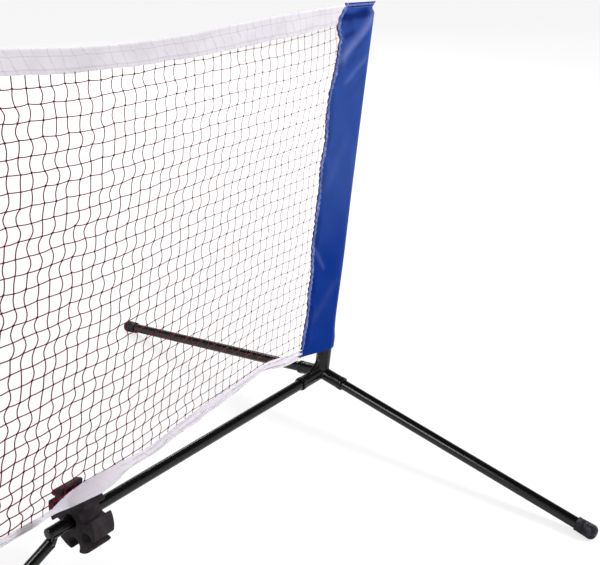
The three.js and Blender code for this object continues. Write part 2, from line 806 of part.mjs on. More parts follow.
frame.add(piece('top_tape', makeTopTape(), whiteTape));
frame.add(piece('bottom_tape', makeBottomTape(), whiteTape));
frame.add(piece('net_mesh', makeNet(), maroonCord));

// The origin is on the floor under the middle of the whole part
const netPost = new THREE.Group();
netPost.add(frame);
netPost.updateMatrixWorld(true);
const extent = new THREE.Box3().setFromObject(netPost, true);
frame.position.x = -(extent.min.x + extent.max.x) / 2;

export default netPost;
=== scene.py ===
# %% [markdown]
# # The end of a portable badminton net
# A leaning post stands in a moulded plastic hub. Two legs and a long rail push into the same
# hub, and a short prop is hinged under the far end of the rail. A blue cloth pocket drops
# over the post and carries the net between two white tapes. A six-armed clip on the rail
# stores the loose tubes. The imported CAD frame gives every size; this lesson dresses it.

# %% Load the frame
import json
import math
import random

import bpy
from mathutils import Matrix, Vector


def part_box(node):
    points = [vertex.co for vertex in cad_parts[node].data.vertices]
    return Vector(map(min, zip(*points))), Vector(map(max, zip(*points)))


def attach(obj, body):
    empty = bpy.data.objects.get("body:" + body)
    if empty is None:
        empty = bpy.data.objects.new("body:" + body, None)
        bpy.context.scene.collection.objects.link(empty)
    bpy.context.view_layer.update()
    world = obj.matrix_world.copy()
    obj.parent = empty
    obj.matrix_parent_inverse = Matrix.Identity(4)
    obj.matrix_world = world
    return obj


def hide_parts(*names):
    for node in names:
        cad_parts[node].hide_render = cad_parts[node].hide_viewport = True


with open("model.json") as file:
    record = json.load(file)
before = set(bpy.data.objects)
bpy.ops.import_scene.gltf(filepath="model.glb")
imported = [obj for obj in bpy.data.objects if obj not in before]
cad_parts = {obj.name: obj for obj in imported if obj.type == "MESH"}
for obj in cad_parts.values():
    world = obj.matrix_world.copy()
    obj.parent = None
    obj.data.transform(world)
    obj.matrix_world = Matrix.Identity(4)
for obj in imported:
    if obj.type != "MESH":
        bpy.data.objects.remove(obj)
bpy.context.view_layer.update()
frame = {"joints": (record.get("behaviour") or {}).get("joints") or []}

# %% [markdown]
# ## Where everything points
# Every tube of the real post starts at the middle of the hub. The frame's joints say which
# way each one pulls out, so the directions are read there instead of being typed again.

# %% Directions and the middle of the hub
MM = 0.001
ALONG_NET, ACROSS_NET, UP = Vector((1, 0, 0)), Vector((0, 1, 0)), Vector((0, 0, 1))


def joint_named(name):
    """The frame's record of one joint."""
    return next(joint for joint in frame["joints"] if joint["name"] == name)


def way_of(joint_name):
    """The way in which a joint of the frame pulls out."""
    return Vector(joint_named(joint_name)["axis"]).normalized()


def middle_of(node):
    """The middle of a CAD node's box."""
    low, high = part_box(node)
    return (low + high) / 2


front_way = way_of("front_leg_pull")
rear_way = way_of("rear_leg_pull")
rail_way = way_of("rail_pull")
post_way = way_of("post_lift")
net_way = Vector((-post_way.z, 0, post_way.x))
hub_middle = Vector((middle_of("front_leg_tube").x, 0, middle_of("rail_tube").z))
hinge = Vector(joint_named("prop_fold")["pos_m"])
prop_way = (middle_of("prop_tube") - hinge).normalized()
print("hub middle", [round(value, 4) for value in hub_middle])


def from_hub(x, y, z):
    """A point given in millimetres from the middle of the hub."""
    return hub_middle + Vector((x, y, z)) * MM


def up_post(v, u, y):
    """A point v millimetres up the post, u from it towards the net and y across the net."""
    return hub_middle + (post_way * v + net_way * u) * MM + Vector((0, y, 0)) * MM


# %% [markdown]
# ## Working by hand, in code
# Bpy operators act on what is selected, so each helper clears the selection first. A turned
# piece, such as a cap or a foot, is a ring that is extruded and resized along its profile,
# the way a lathe tool walks along the work. Cloth, thread and twine have too many points for
# that, so `new_piece` builds them straight from a list.

# %% Helpers for solid pieces
def start_clean():
    """Leave edit mode and select nothing."""
    if bpy.context.object and bpy.context.object.mode != "OBJECT":
        bpy.ops.object.mode_set(mode="OBJECT")
    bpy.ops.object.select_all(action="DESELECT")


def pick(piece):
    """Select one piece only and make it the active one."""
    start_clean()
    piece.select_set(True)
    bpy.context.view_layer.objects.active = piece


def edit_all(piece):
    """Open a piece for editing with all of it selected."""
    pick(piece)
    bpy.ops.object.mode_set(mode="EDIT")
    bpy.ops.mesh.select_all(action="SELECT")


def clean_up(piece, merge=0.01):
    """Merge doubles and turn every face outwards."""
    edit_all(piece)
    bpy.ops.mesh.remove_doubles(threshold=merge * MM)
    bpy.ops.mesh.normals_make_consistent(inside=False)
    bpy.ops.object.mode_set(mode="OBJECT")


def use_modifier(piece, kind, **settings):
    """Add a modifier, give it its settings and apply it."""
    pick(piece)
    modifier = piece.modifiers.new(kind.title(), kind)
    for setting, value in settings.items():
        setattr(modifier, setting, value)
    bpy.ops.object.modifier_apply(modifier=modifier.name)


def soften(piece, width, angle, segments=3):
    """Bevel the edges that turn by more than the angle."""
    use_modifier(
        piece, "BEVEL", width=width * MM, segments=segments,
        limit_method="ANGLE", angle_limit=math.radians(angle),
    )


def shade(piece, angle=35):
    """Smooth shading, except over edges that turn by more than the angle."""
    pick(piece)
    bpy.ops.object.shade_smooth_by_angle(angle=math.radians(angle))


def set_down(piece, matrix):
    """Move the mesh to its place, so that the object itself stays at the origin."""
    piece.matrix_world = matrix
    pick(piece)
    bpy.ops.object.transform_apply(location=True, rotation=True, scale=True)


# %% Turned pieces and plates
def along_way(start, way):
    """The matrix that stands a piece, made along +Z, on start and points it along way."""
    across = ACROSS_NET if abs(way.y) < 0.5 else ALONG_NET
    side = (across - way * across.dot(way)).normalized()
    turn = Matrix((side, way.cross(side), way)).transposed()
    return Matrix.Translation(start) @ turn.to_4x4()


def turned(name, profile, start, way, sides=64, band=False):
    """Walk a ring from start along way, by a profile of (reach, radius) in millimetres."""
    start_clean()
    reach, radius = profile[0]
    bpy.ops.mesh.primitive_circle_add(
        vertices=sides, radius=radius * MM, location=(0, 0, reach * MM),
        fill_type="NOTHING" if band else "NGON",
    )
    piece = bpy.context.object
    piece.name = piece.data.name = name
    bpy.ops.object.transform_apply(location=True)
    edit_all(piece)
    for next_reach, next_radius in profile[1:]:
        step = (0, 0, (next_reach - reach) * MM)
        bpy.ops.mesh.extrude_region_move(TRANSFORM_OT_translate={"value": step})
        grow = next_radius / radius
        bpy.ops.transform.resize(
            value=(grow, grow, 1), center_override=(0, 0, next_reach * MM)
        )
        reach, radius = next_reach, next_radius
    bpy.ops.object.mode_set(mode="OBJECT")
    clean_up(piece)
    set_down(piece, along_way(start, way))
    return piece


def on_circle(centre, radius, degrees):
    """A point on a circle, counted from the right, anticlockwise."""
    angle = math.radians(degrees)
    return (centre[0] + radius * math.cos(angle), centre[1] + radius * math.sin(angle))


def arc(centre, radius, start, end, steps):
    """Points on an arc, with angles in degrees."""
    return [on_circle(centre, radius, start + (end - start) * k / steps) for k in range(steps + 1)]


def plate(name, outline, thickness, origin, across, up, edge=0.0):
    """A flat ring of points is filled, extruded and softened, then stood in its plane."""
    start_clean()
    bpy.ops.mesh.primitive_circle_add(vertices=len(outline), radius=1, fill_type="NGON")
    piece = bpy.context.object
    piece.name = piece.data.name = name
    for vertex, (a, b) in zip(piece.data.vertices, outline):
        vertex.co = (a * MM, b * MM, -thickness / 2 * MM)
    edit_all(piece)
    bpy.ops.mesh.extrude_region_move(
        TRANSFORM_OT_translate={"value": (0, 0, thickness * MM)}
    )
    bpy.ops.object.mode_set(mode="OBJECT")
    clean_up(piece)
    if edge:
        soften(piece, edge, angle=60)
    turn = Matrix((across, up, across.cross(up))).transposed()
    set_down(piece, Matrix.Translation(origin) @ turn.to_4x4())
    return piece


# %% Build, join and cut
def new_piece(name, points, faces):
    """A piece built straight from its points and faces."""
    mesh = bpy.data.meshes.new(name)
    mesh.from_pydata([tuple(point) for point in points], [], faces)
    piece = bpy.data.objects.new(name, mesh)
    bpy.context.collection.objects.link(piece)
    return piece


def join(name, pieces):
    """Make several pieces one, which keeps the first one's place."""
    start_clean()
    for piece in pieces:
        piece.select_set(True)
    bpy.context.view_layer.objects.active = pieces[0]
    bpy.ops.object.join()
    pieces[0].name = pieces[0].data.name = name
    return pieces[0]


def cut_with(piece, cutter, operation="DIFFERENCE"):
    """Combine a piece with a cutter, which is used up."""
    use_modifier(piece, "BOOLEAN", object=cutter, operation=operation, solver="EXACT")
    bpy.data.objects.remove(cutter)


def stand_on_floor(piece):
    """Slice off what would sink into the floor and close the cut."""
    edit_all(piece)
    bpy.ops.mesh.bisect(
        plane_co=(0, 0, 0), plane_no=(0, 0, 1), use_fill=True, clear_inner=True
    )
    bpy.ops.object.mode_set(mode="OBJECT")


# %% [markdown]
# ## Shader maths as plain Python
# A finish changes over a surface: paint has a faint orange peel, rubber is mottled, cloth is
# woven. Such patterns are sums of noise and waves. The small class below wraps a socket, so
# that `1 - mask` or `noise * 0.2` adds the Math node by itself.

# %% A value on a surface
class Field:
    """A number that varies over a surface, kept as the socket that gives it."""

    def __init__(self, nodes, socket):
        self.nodes = nodes
        self.socket = socket

    def math(self, operation, *values):
        node = self.nodes.node("ShaderNodeMath", {"operation": operation}, dict(enumerate(values)))
        return Field(self.nodes, node.outputs[0])

    def __add__(self, other):
        return self.math("ADD", self, other)

    def __sub__(self, other):
        return self.math("SUBTRACT", self, other)

    def __rsub__(self, other):
        return self.math("SUBTRACT", other, self)

    def __mul__(self, other):
        return self.math("MULTIPLY", self, other)

    __radd__ = __add__
    __rmul__ = __mul__

    def between(self, low, high):
        """0 below low, 1 above high, smooth in between."""
        node = self.nodes.node(
            "ShaderNodeMapRange", {"interpolation_type": "SMOOTHSTEP", "clamp": True},
            {"Value": self, "From Min": low, "From Max": high},
        )
        return Field(self.nodes, node.outputs["Result"])

    def sine(self):
        return self.math("SINE", self)

    def size(self):
        """The value without its sign."""
        return self.math("ABSOLUTE", self)

    def largest(self, *others):
        field = self
        for other in others:
            field = self.math("MAXIMUM", field, other)
        return field


# %% Nodes of a shader
class Nodes:
    """A node tree in which a node takes its settings first and its inputs after them."""

    def __init__(self, tree):
        self.tree = tree

    def node(self, kind, settings, inputs):
        node = self.tree.nodes.new(kind)
        for setting, value in settings.items():
            setattr(node, setting, value)
        for socket, value in inputs.items():
            self.feed(node.inputs[socket], value)
        return node

    def feed(self, socket, value):
        value = value.socket if isinstance(value, Field) else value
        if isinstance(value, bpy.types.NodeSocket):
            self.tree.links.new(value, socket)
        elif socket.type == "RGBA":
            socket.default_value = (*value[:3], 1)
        else:
            socket.default_value = value


# %% A finish
class Finish(Nodes):
    """One material, from a Principled shader and the fields that feed it.

    The plain roughness given first is what a viewer without fields shows.
    """

    def __init__(self, name, roughness, **constants):
        self.material = bpy.data.materials.new(name)
        self.material.use_nodes = True
        super().__init__(self.material.node_tree)
        self.shader = self.tree.nodes["Principled BSDF"]
        self.set("Roughness", roughness)
        for socket, value in constants.items():
            self.set(socket.replace("_", " "), value)
        self.place = self.node("ShaderNodeTexCoord", {}, {}).outputs["Object"]

    def set(self, socket, value):
        self.feed(self.shader.inputs[socket], value)

    def noise(self, size, detail, place=None, stretch=(1, 1, 1)):
        """Noise whose spots are about size millimetres across."""
        scale = 1000 / size
        mapping = self.node(
            "ShaderNodeMapping", {},
            {"Vector": place or self.place, "Scale": [scale / s for s in stretch]},
        )
        node = self.node(
            "ShaderNodeTexNoise", {},
            {"Vector": mapping.outputs[0], "Scale": 1.0, "Detail": detail},
        )
        return Field(self, node.outputs["Fac"])

    def uv_vector(self):
        """The place on the flat cut, in metres."""
        return self.node("ShaderNodeUVMap", {"uv_map": "cut"}, {}).outputs[0]

    def uv(self, part):
        """One coordinate of the flat cut: 0 runs across the cloth, 1 runs along it."""
        split = self.node("ShaderNodeSeparateXYZ", {}, {"Vector": self.uv_vector()})
        return Field(self, split.outputs[part])

    def threads(self, part, pitch):
        """A wave over the flat cut that comes back every pitch millimetres."""
        return (self.uv(part) * (2 * math.pi / (pitch * MM))).sine()

    def mask(self, name):
        """A number kept on the mesh's points."""
        node = self.node("ShaderNodeAttribute", {"attribute_name": name}, {})
        return Field(self, node.outputs["Fac"])

    def blend(self, mask, first, second):
        """The first colour where the mask is 0 and the second where it is 1."""
        node = self.node(
            "ShaderNodeMix", {"data_type": "RGBA"}, {"Factor": mask, 6: first, 7: second}
        )
        return node.outputs[2]

    def done(self, colour, roughness, height, depth, strength):
        """Feed the shader; the surface rises by depth millimetres where the height is 1."""
        bump = self.node(
            "ShaderNodeBump", {},
            {"Height": height, "Distance": depth * MM, "Strength": strength},
        )
        self.set("Base Color", colour)
        self.set("Roughness", roughness)
        self.set("Normal", bump.outputs["Normal"])
        return self.material


def srgb(red, green, blue):
    """A colour as a picture shows it, from 0 to 255, made linear for the shader."""
    def linear(value):
        value /= 255
        return value / 12.92 if value <= 0.04045 else ((value + 0.055) / 1.055) ** 2.4
    return (linear(red), linear(green), linear(blue))


# %% [markdown]
# ## Painted tube, moulded plastic, rubber and steel
# The tubes are steel with a smooth black powder coat: dark, with a soft highlight and a very
# fine orange peel, a little dull where pieces rub on them. The hub is the same black in
# plastic with a fine grain. The feet are dusty rubber, which is why they look grey. Clip and
# rubber are matt because their surface is rough at a scale that only the roughness shows.

# %% Black finishes
def make_black_paint():
    """A fine orange peel, patches dulled by wear and faint long scratches."""
    finish = Finish("black powder coat", 0.28, Specular_IOR_Level=0.38)
    peel = finish.noise(1.6, detail=3)
    # on the paint this noise marks wear only
    wear_and_painted_shade = finish.noise(26, detail=4).between(0.56, 0.72)
    scratch = finish.noise(2.4, detail=2, stretch=(9, 9, 0.6)).between(0.66, 0.74)
    colour = finish.blend(wear_and_painted_shade, (0.0022, 0.0021, 0.0024), (0.004, 0.0038, 0.0041))
    colour = finish.blend(scratch * 0.25, colour, (0.02, 0.02, 0.022))
    roughness = 0.24 + wear_and_painted_shade * 0.08 + scratch * 0.1
    return finish.done(colour, roughness, peel, depth=0.002, strength=0.4)


def make_black_plastic():
    """A fine grain under a slightly cloudy sheen."""
    finish = Finish("moulded black plastic", 0.36, Specular_IOR_Level=0.32)
    grain = finish.noise(0.5, detail=2)
    cloudy = finish.noise(18, detail=3)
    colour = finish.blend(cloudy, (0.003, 0.0028, 0.0032), (0.006, 0.0056, 0.006))
    return finish.done(colour, 0.2 + cloudy * 0.08 + grain * 0.03, grain, depth=0.01, strength=0.4)


# %% Rubber, matt plastic and steel
def make_rubber():
    """Two greys in blotches, with pale dust on top."""
    finish = Finish("dusty rubber", 0.82, Specular_IOR_Level=0.3)
    blotch = finish.noise(11, detail=3)
    dust = finish.noise(3, detail=5).between(0.5, 0.75)
    grain = finish.noise(0.9, detail=3) + dust * 0.5
    colour = finish.blend(blotch.between(0.42, 0.62), srgb(28, 27, 31), srgb(66, 64, 72))
    colour = finish.blend(dust * 0.5, colour, srgb(94, 92, 102))
    return finish.done(colour, 0.76 + dust * 0.12, grain, depth=0.09, strength=0.7)


def make_clip_plastic():
    """Matt and blotchy, with a few paler scuffs."""
    finish = Finish("charcoal matt plastic", 0.62, Specular_IOR_Level=0.14)
    grain = finish.noise(0.7, detail=3)
    blotch = finish.noise(20, detail=4)
    scuff = finish.noise(2, detail=3, stretch=(5, 1, 1)).between(0.62, 0.75)
    colour = finish.blend(blotch.between(0.35, 0.7), srgb(43, 39, 42), srgb(59, 53, 56))
    colour = finish.blend(scuff * 0.25, colour, srgb(80, 74, 77))
    return finish.done(colour, 0.58 + grain * 0.12, grain, depth=0.05, strength=0.6)


def make_steel():
    """Blackened, with the fine marks of turning."""
    finish = Finish("blackened steel", 0.34, Metallic=1.0)
    turned_marks = finish.noise(1.2, detail=2, stretch=(1, 12, 1))
    colour = finish.blend(turned_marks, (0.05, 0.05, 0.055), (0.11, 0.11, 0.115))
    return finish.done(colour, 0.28 + turned_marks * 0.14, turned_marks, depth=0.02, strength=0.4)


black_paint = make_black_paint()
black_plastic = make_black_plastic()
rubber = make_rubber()
clip_plastic = make_clip_plastic()
steel = make_steel()
solid_finishes = (black_paint, black_plastic, rubber, clip_plastic, steel)
print("solid finishes:", [material.name for material in solid_finishes])

# %% [markdown]
# ## Cloth, tape and twine
# The pocket is a plain woven nylon with a slight shine. Its weave is two crossing waves on
# the cloth's own UV map, which is in metres, so the threads keep their width round the post.
# The tapes are thin enough for the twine inside and the turned edge to show as grey lines.
# The twine is braided, which reads as slanting ridges along each strand, and painted light
# makes it paler beside the post. Numbers kept on the mesh's points say where a finish changes:
# crease a painted highlight, shade a painted shade and painted_light the twine's paleness.

# %% Soft finishes
CLOTH_THREAD, TAPE_THREAD = 0.9, 0.7  # width of one woven thread, in millimetres
BINDING_RIB = 1.1
TWINE_LAY = 2.2  # length of one turn of the braid


def weave_of(finish, pitch):
    """Two crossing waves, from 0 to 1."""
    return finish.threads(0, pitch) * finish.threads(1, pitch) * 0.5 + 0.5


def make_blue_cloth():
    """The weave, painted shade in its hollows, a painted highlight on its creases, and a bluer
    lower part.
    """
    finish = Finish(
        "blue nylon cloth", 0.5, Sheen_Weight=0.02, Sheen_Roughness=0.4,
        Specular_IOR_Level=0.12,
    )
    finish.set("Sheen Tint", srgb(150, 165, 220))
    weave = weave_of(finish, CLOTH_THREAD)
    cloudy = finish.noise(60, detail=3, place=finish.uv_vector())
    colour = finish.blend(cloudy.between(0.4, 0.75) * 0.3, srgb(46, 76, 153), srgb(38, 78, 160))
    colour = finish.blend(finish.mask("low"), colour, srgb(0, 50, 140))
    # painted shade in the hollows, then a painted highlight on the crests of the creases
    colour = finish.blend(finish.mask("shade"), colour, srgb(0, 30, 100))
    colour = finish.blend(finish.mask("crease"), colour, srgb(101, 118, 184))
    colour = finish.blend(weave * 0.14, colour, srgb(8, 30, 96))
    return finish.done(colour, 0.44 + weave * 0.14, weave, depth=0.05, strength=0.35)


def make_binding_cloth():
    """Ribs across the ribbon, pale blotches of wear, and painted shade along the outer fold."""
    finish = Finish("blue edge binding", 0.6, Sheen_Weight=0.15, Specular_IOR_Level=0.3)
    finish.set("Sheen Tint", srgb(160, 170, 220))
    ribs = finish.threads(1, BINDING_RIB) * 0.5 + 0.5
    blotch = finish.noise(11, detail=3, place=finish.uv_vector()).between(0.4, 0.66)
    colour = finish.blend(blotch, srgb(78, 96, 172), srgb(140, 150, 206))
    # painted shade along the outer fold, with the dark raw edge at the low corner
    colour = finish.blend(finish.mask("rim"), colour, srgb(22, 26, 78))
    colour = finish.blend(ribs * 0.25, colour, srgb(22, 40, 120))
    return finish.done(colour, 0.52 + ribs * 0.14, ribs, depth=0.08, strength=0.5)


# %% Tape, twine and thread
def make_tape_cloth():
    """White weave, with twine, sewing and turned edge showing through."""
    finish = Finish("white net tape", 0.7, Sheen_Weight=0.1, Specular_IOR_Level=0.25)
    weave = weave_of(finish, TAPE_THREAD)
    level = finish.mask("level")
    smudge = finish.noise(70, detail=3, place=finish.uv_vector()).between(0.35, 0.75)
    stray = finish.noise(26, detail=2, place=finish.uv_vector()) * 1.1
    column = ((finish.mask("column") + level * 1.15 + stray) * math.pi).sine().size()
    twine = (1 - column.between(0.03, 0.2)) * (1 - smudge * 0.5)
    row = 1 - (level + stray * 0.1 - 0.36).size().between(0.008, 0.03)
    hem = 1 - (level + stray * 0.03 - 0.84).size().between(0.01, 0.035)
    colour = finish.blend(smudge * 0.6, srgb(236, 231, 238), srgb(214, 208, 218))
    colour = finish.blend(twine * 0.34, colour, srgb(158, 136, 152))
    colour = finish.blend(row * 0.28, colour, srgb(160, 142, 158))
    colour = finish.blend(hem * 0.24, colour, srgb(160, 142, 158))
    # painted shade where the low tape leans over the clip's arm
    colour = finish.blend(finish.mask("wear_and_painted_shade") * 0.75, colour, srgb(192, 186, 198))
    colour = finish.blend(weave * 0.06, colour, srgb(180, 174, 186))
    relief = weave + twine * 3 + row * 3
    return finish.done(colour, 0.64 + weave * 0.1, relief, depth=0.04, strength=0.4)


def make_twine(name, light, dark):
    """Slanting ridges of the braid, painted paler beside the post as painted light."""
    finish = Finish(name, 0.7, Specular_IOR_Level=0.12)
    lay = finish.uv(0) * (4 * math.pi) + finish.uv(1) * (2 * math.pi / (TWINE_LAY * MM))
    ridge = lay.sine() * 0.5 + 0.5
    cloudy = finish.noise(40, detail=3)
    colour = finish.blend(ridge, dark, light)
    # painted light: the twine is painted paler towards the post
    colour = finish.blend(finish.mask("painted_light") * 0.46, colour, srgb(182, 116, 122))
    colour = finish.blend(cloudy.between(0.4, 0.7) * 0.35, colour, dark)
    return finish.done(colour, 0.62 + ridge * 0.12, ridge, depth=0.12, strength=0.6)


def make_thread(name, light, dark):
    """Fine fibres from dark to light."""
    finish = Finish(name, 0.6, Specular_IOR_Level=0.35)
    fibres = finish.noise(0.4, detail=2)
    colour = finish.blend(fibres, dark, light)
    return finish.done(colour, 0.55 + fibres * 0.12, fibres, depth=0.05, strength=0.5)


blue_cloth = make_blue_cloth()
binding_cloth = make_binding_cloth()
tape_cloth = make_tape_cloth()
maroon_twine = make_twine("maroon twine", srgb(146, 14, 42), srgb(78, 4, 20))
knot_twine = make_twine("maroon knots", srgb(72, 18, 32), srgb(38, 8, 18))
pale_thread = make_thread("pale sewing thread", srgb(150, 160, 205), srgb(108, 120, 180))
white_thread = make_thread("white sewing thread", srgb(236, 232, 238), srgb(205, 198, 208))
soft_finishes = (blue_cloth, binding_cloth, tape_cloth, maroon_twine, knot_twine)
soft_finishes += (pale_thread, white_thread)
print("soft finishes:", [material.name for material in soft_finishes])

# %% [markdown]
# ## Ready to hang a piece on its body
# Each piece of the dressed model replaces a CAD node, which is hidden, and rides on that
# node's body, so that it moves in the poses.

# %% Dress a piece
def dress(piece, material, body, slot, *nodes):
    """Give a piece its finish and body, and hide the CAD nodes that it replaces; slot is not used.
    """
    piece.data.materials.clear()
    piece.data.materials.append(material)
    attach(piece, body)
    if nodes:
        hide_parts(*nodes)
    print(f"{piece.name}: {len(piece.data.polygons)} faces")
    return piece


# %% [markdown]
# ## The tubes
# A real tube is a rolled strip, welded and cut to length, so it is an open ring with a wall.
# The CAD box of each tube gives its radius and its length; a slanting tube's length follows
# from the box's longest side. The ring's profile goes up the outside and down the bore, with
# rims that are softened by the saw's deburring. Paint makes the photographed tubes look a
# little fuller than the record's.

# %% Tubes
WALL = 1.2
DEBURR = 0.25
TUBE_SIDES = 72
FULLER = {"front_leg_tube": 0.7, "rear_leg_tube": 0.7, "rail_tube": 0.7, "prop_tube": 1.0}
TUBE_WAYS = {  # the body that carries each tube, and the tube's way
    "front_leg": front_way, "rear_leg": rear_way, "rail": rail_way, "prop": prop_way,
    "post": post_way,
}


def run_of(node, way):
    """Radius, start and length of a tube along way, from its box."""
    low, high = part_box(node)
    size = high - low
    radius = min(size.x, size.y) / 2
    k = max(range(3), key=lambda axis: abs(way[axis]))
    rim = 2 * radius * math.sqrt(max(0.0, 1 - way[k] ** 2))
    length = (size[k] - rim) / abs(way[k])
    return radius + FULLER.get(node, 0) * MM, (low + high) / 2 - way * length / 2, length


def make_pipe(name, node, way):
    """An open tube with a wall and softened rims."""
    radius, start, length = run_of(node, way)
    radius, length = radius / MM, length / MM
    inner = radius - WALL
    pipe = turned(name, [
        (0, inner + DEBURR), (0, radius - DEBURR), (DEBURR, radius), (length - DEBURR, radius),
        (length, radius - DEBURR), (length, inner + DEBURR), (length - DEBURR, inner),
        (DEBURR, inner), (0, inner + DEBURR),
    ], start, way, sides=TUBE_SIDES, band=True)
    shade(pipe, 30)
    return pipe


for body, way in TUBE_WAYS.items():
    node = body + "_tube"
    dress(make_pipe(body + "_pipe", node, way), black_paint, body, "black_paint", node)


# %% [markdown]
# ## Feet
# Each foot is a moulded rubber cup pushed over the tube's end. It has a small raised lip at
# its mouth, a few grip rings and a domed end, widens a little towards it, and the floor has
# pressed its underside flat. The profile starts at the bottom of the bore and comes back
# outside, so the cup is one closed skin.

# %% Rubber feet
LIP = 0.4
LEG_FOOT, PROP_FOOT = (14.1, 43, 11.5), (12.6, 36, 9)  # radius, length, radius of the dome
LEG_REACH = 700.5  # hub to the foot's end
PROP_FOOT_PAST = 7.3  # how far the prop's foot goes past its tube
FOOT_FLARE = 1.3
FOOT_FLOOR = 7  # thickness of rubber under the tube's end
GRIP_RINGS, FIRST_RING, RING_PITCH = 3, 14, 4.5


def make_foot(name, tube_node, way, origin, size, reach):
    """A cup whose closed end is reach millimetres from origin."""
    radius, length, corner = size
    bore = run_of(tube_node, way)[0] / MM + 0.15
    mouth = reach - length
    profile = [
        (reach - FOOT_FLOOR, bore - 2), (reach - FOOT_FLOOR, bore), (mouth + 0.5, bore),
        (mouth, bore + 0.5), (mouth, radius - 0.2), (mouth + 0.8, radius + LIP),
        (mouth + 3.4, radius + LIP), (mouth + 4.4, radius),
    ]
    for ring in range(GRIP_RINGS):
        groove = mouth + FIRST_RING + ring * RING_PITCH
        out = radius + FOOT_FLARE * (groove - mouth) / (length - corner)
        profile += [
            (groove, out), (groove + 0.5, out - 0.5), (groove + 1.3, out - 0.5),
            (groove + 1.8, out + 0.05),
        ]
    out = radius + FOOT_FLARE
    profile += arc((reach - corner, out - corner), corner, 90, 8, 14)
    profile += [(reach, (out - corner) * 0.7), (reach + 0.05, (out - corner) * 0.25)]
    foot = turned(name, profile, origin, way)
    stand_on_floor(foot)
    soften(foot, 0.35, angle=50, segments=2)
    shade(foot, 40)
    return foot


# %% Push the feet on
_, prop_start, prop_length = run_of("prop_tube", prop_way)
prop_reach = (prop_start - hinge).dot(prop_way) / MM
prop_reach += prop_length / MM + PROP_FOOT_PAST
for name, body, origin, size, reach in (
    ("front_foot_cap", "front_leg", hub_middle, LEG_FOOT, LEG_REACH),
    ("rear_foot_cap", "rear_leg", hub_middle, LEG_FOOT, LEG_REACH),
    ("prop_foot_cap", "prop", hinge, PROP_FOOT, prop_reach),
):
    foot = make_foot(name, body + "_tube", TUBE_WAYS[body], origin, size, reach)
    dress(foot, rubber, body, "dark_rubber", body + "_foot")


# %% [markdown]
# ## The hub
# The hub is one plastic moulding: four sockets grow out of a round core, and a thin web
# braces the post against the rail. In the mould every inner corner has a radius. That is
# made by joining the rough solids, remeshing them as one skin and smoothing it, which fills
# the corners as poured plastic would. The crisp lips at the mouths are turned separately.

# %% Hub
SEAT = 16  # middle of the hub to the bottom of each bore
LEG_BORE = 11.9
POST_BORE = 12.7
SOCKETS = [  # direction, outer radius, reach, bore
    (front_way, 14.6, 65, LEG_BORE),
    (rear_way, 14.6, 65, LEG_BORE),
    (rail_way, 14.5, 79, LEG_BORE),
    (post_way, 16.6, 80, POST_BORE),
]
CORE = 17
SWELL = 0.25  # smoothing draws the skin in by about this much
WEB_TOP, WEB_END = 54, -66  # how far the web goes up the post and out along the rail
WEB_THICK = 9
SKIN = 1.0  # voxel of the remeshed skin


def bent(start, waist, end, steps):
    """Points on a smooth bend from start to end, drawn towards waist."""
    shares = [k / steps for k in range(steps + 1)]
    return [
        tuple(start * (1 - t) ** 2 + waist * (2 * t * (1 - t)) + end * t ** 2) for t in shares
    ]


def web_outline():
    """The web in the plane of the net, from the post socket down to the rail socket."""
    lean = post_way.x / post_way.z
    top, waist = Vector((WEB_TOP * lean - 16.5, WEB_TOP)), Vector((-17, 20))
    curve = bent(top, waist, Vector((WEB_END, 13)), 20)
    return [(WEB_TOP * lean, WEB_TOP)] + curve + [(WEB_END, 0), (0, 0)]


# %% Mould the hub
def make_hub():
    """Union of the rough solids, one smooth skin, then bores and lips."""
    rough = []
    for way, radius, reach, bore in SOCKETS:
        outer, end = radius + SWELL, reach - 1.2
        rough.append(turned("socket", [(0, outer), (end, outer), (end, 6)], hub_middle, way))
    start_clean()
    bpy.ops.mesh.primitive_uv_sphere_add(
        segments=48, ring_count=24, radius=(CORE + 0.4) * MM, location=hub_middle
    )
    rough.append(bpy.context.object)
    bpy.ops.object.transform_apply(location=True)
    web = plate("web", web_outline(), WEB_THICK, hub_middle, ALONG_NET, UP, edge=1.2)
    hub = rough[0]
    for part in rough[1:] + [web]:
        cut_with(hub, part, "UNION")
    use_modifier(hub, "REMESH", mode="VOXEL", voxel_size=SKIN * MM, adaptivity=0.0)
    use_modifier(hub, "SMOOTH", factor=0.5, iterations=14)
    for way, radius, reach, bore in SOCKETS:
        cut_with(hub, turned("bore", [(SEAT, bore), (reach + 5, bore)], hub_middle, way))
    hub = join("hub_moulding", [hub] + [make_lip(*socket) for socket in SOCKETS])
    shade(hub, 38)
    return hub


def make_lip(way, radius, reach, bore):
    """The raised collar at the mouth of a socket."""
    out = radius + 0.9
    return turned("lip", [
        (reach - 10.6, radius - 0.4), (reach - 9.8, out - 0.25), (reach - 9.2, out),
        (reach - 1.4, out), (reach - 0.5, out - 0.35), (reach, out - 1.2),
        (reach, bore + 0.9), (reach - 0.9, bore + 0.1), (reach - 6, bore + 0.1),
        (reach - 10.6, radius - 0.4),
    ], hub_middle, way, band=True)


dress(make_hub(), black_plastic, "hub", "black_plastic", "hub")

# %% [markdown]
# ## Rail end: plug, saddle, ears and rivet
# The rail's end is closed by a plain plug with a rounded face. Under it a pressed saddle,
# welded to the tube, carries two ears with a rivet through them. The top of the prop turns
# on the rivet, with its tongue between the ears.

# %% Rail end
RAIL_REACH = 776  # hub to the plug's face
RAIL_RADIUS = 11.7
PLUG_HEAD, PLUG_ROUND = 5, 3
EAR = 6.6  # radius of the ear's round end
EAR_PLATE = 2.5
EAR_GAP = 0.3
HINGE_DROP = (hub_middle.z - hinge.z) / MM
TONGUE = 9
PIN_HALF = TONGUE / 2 + EAR_PLATE + 0.6
EAR_PLACE = TONGUE / 2 + EAR_GAP + EAR_PLATE / 2
SADDLE_LENGTH = 20

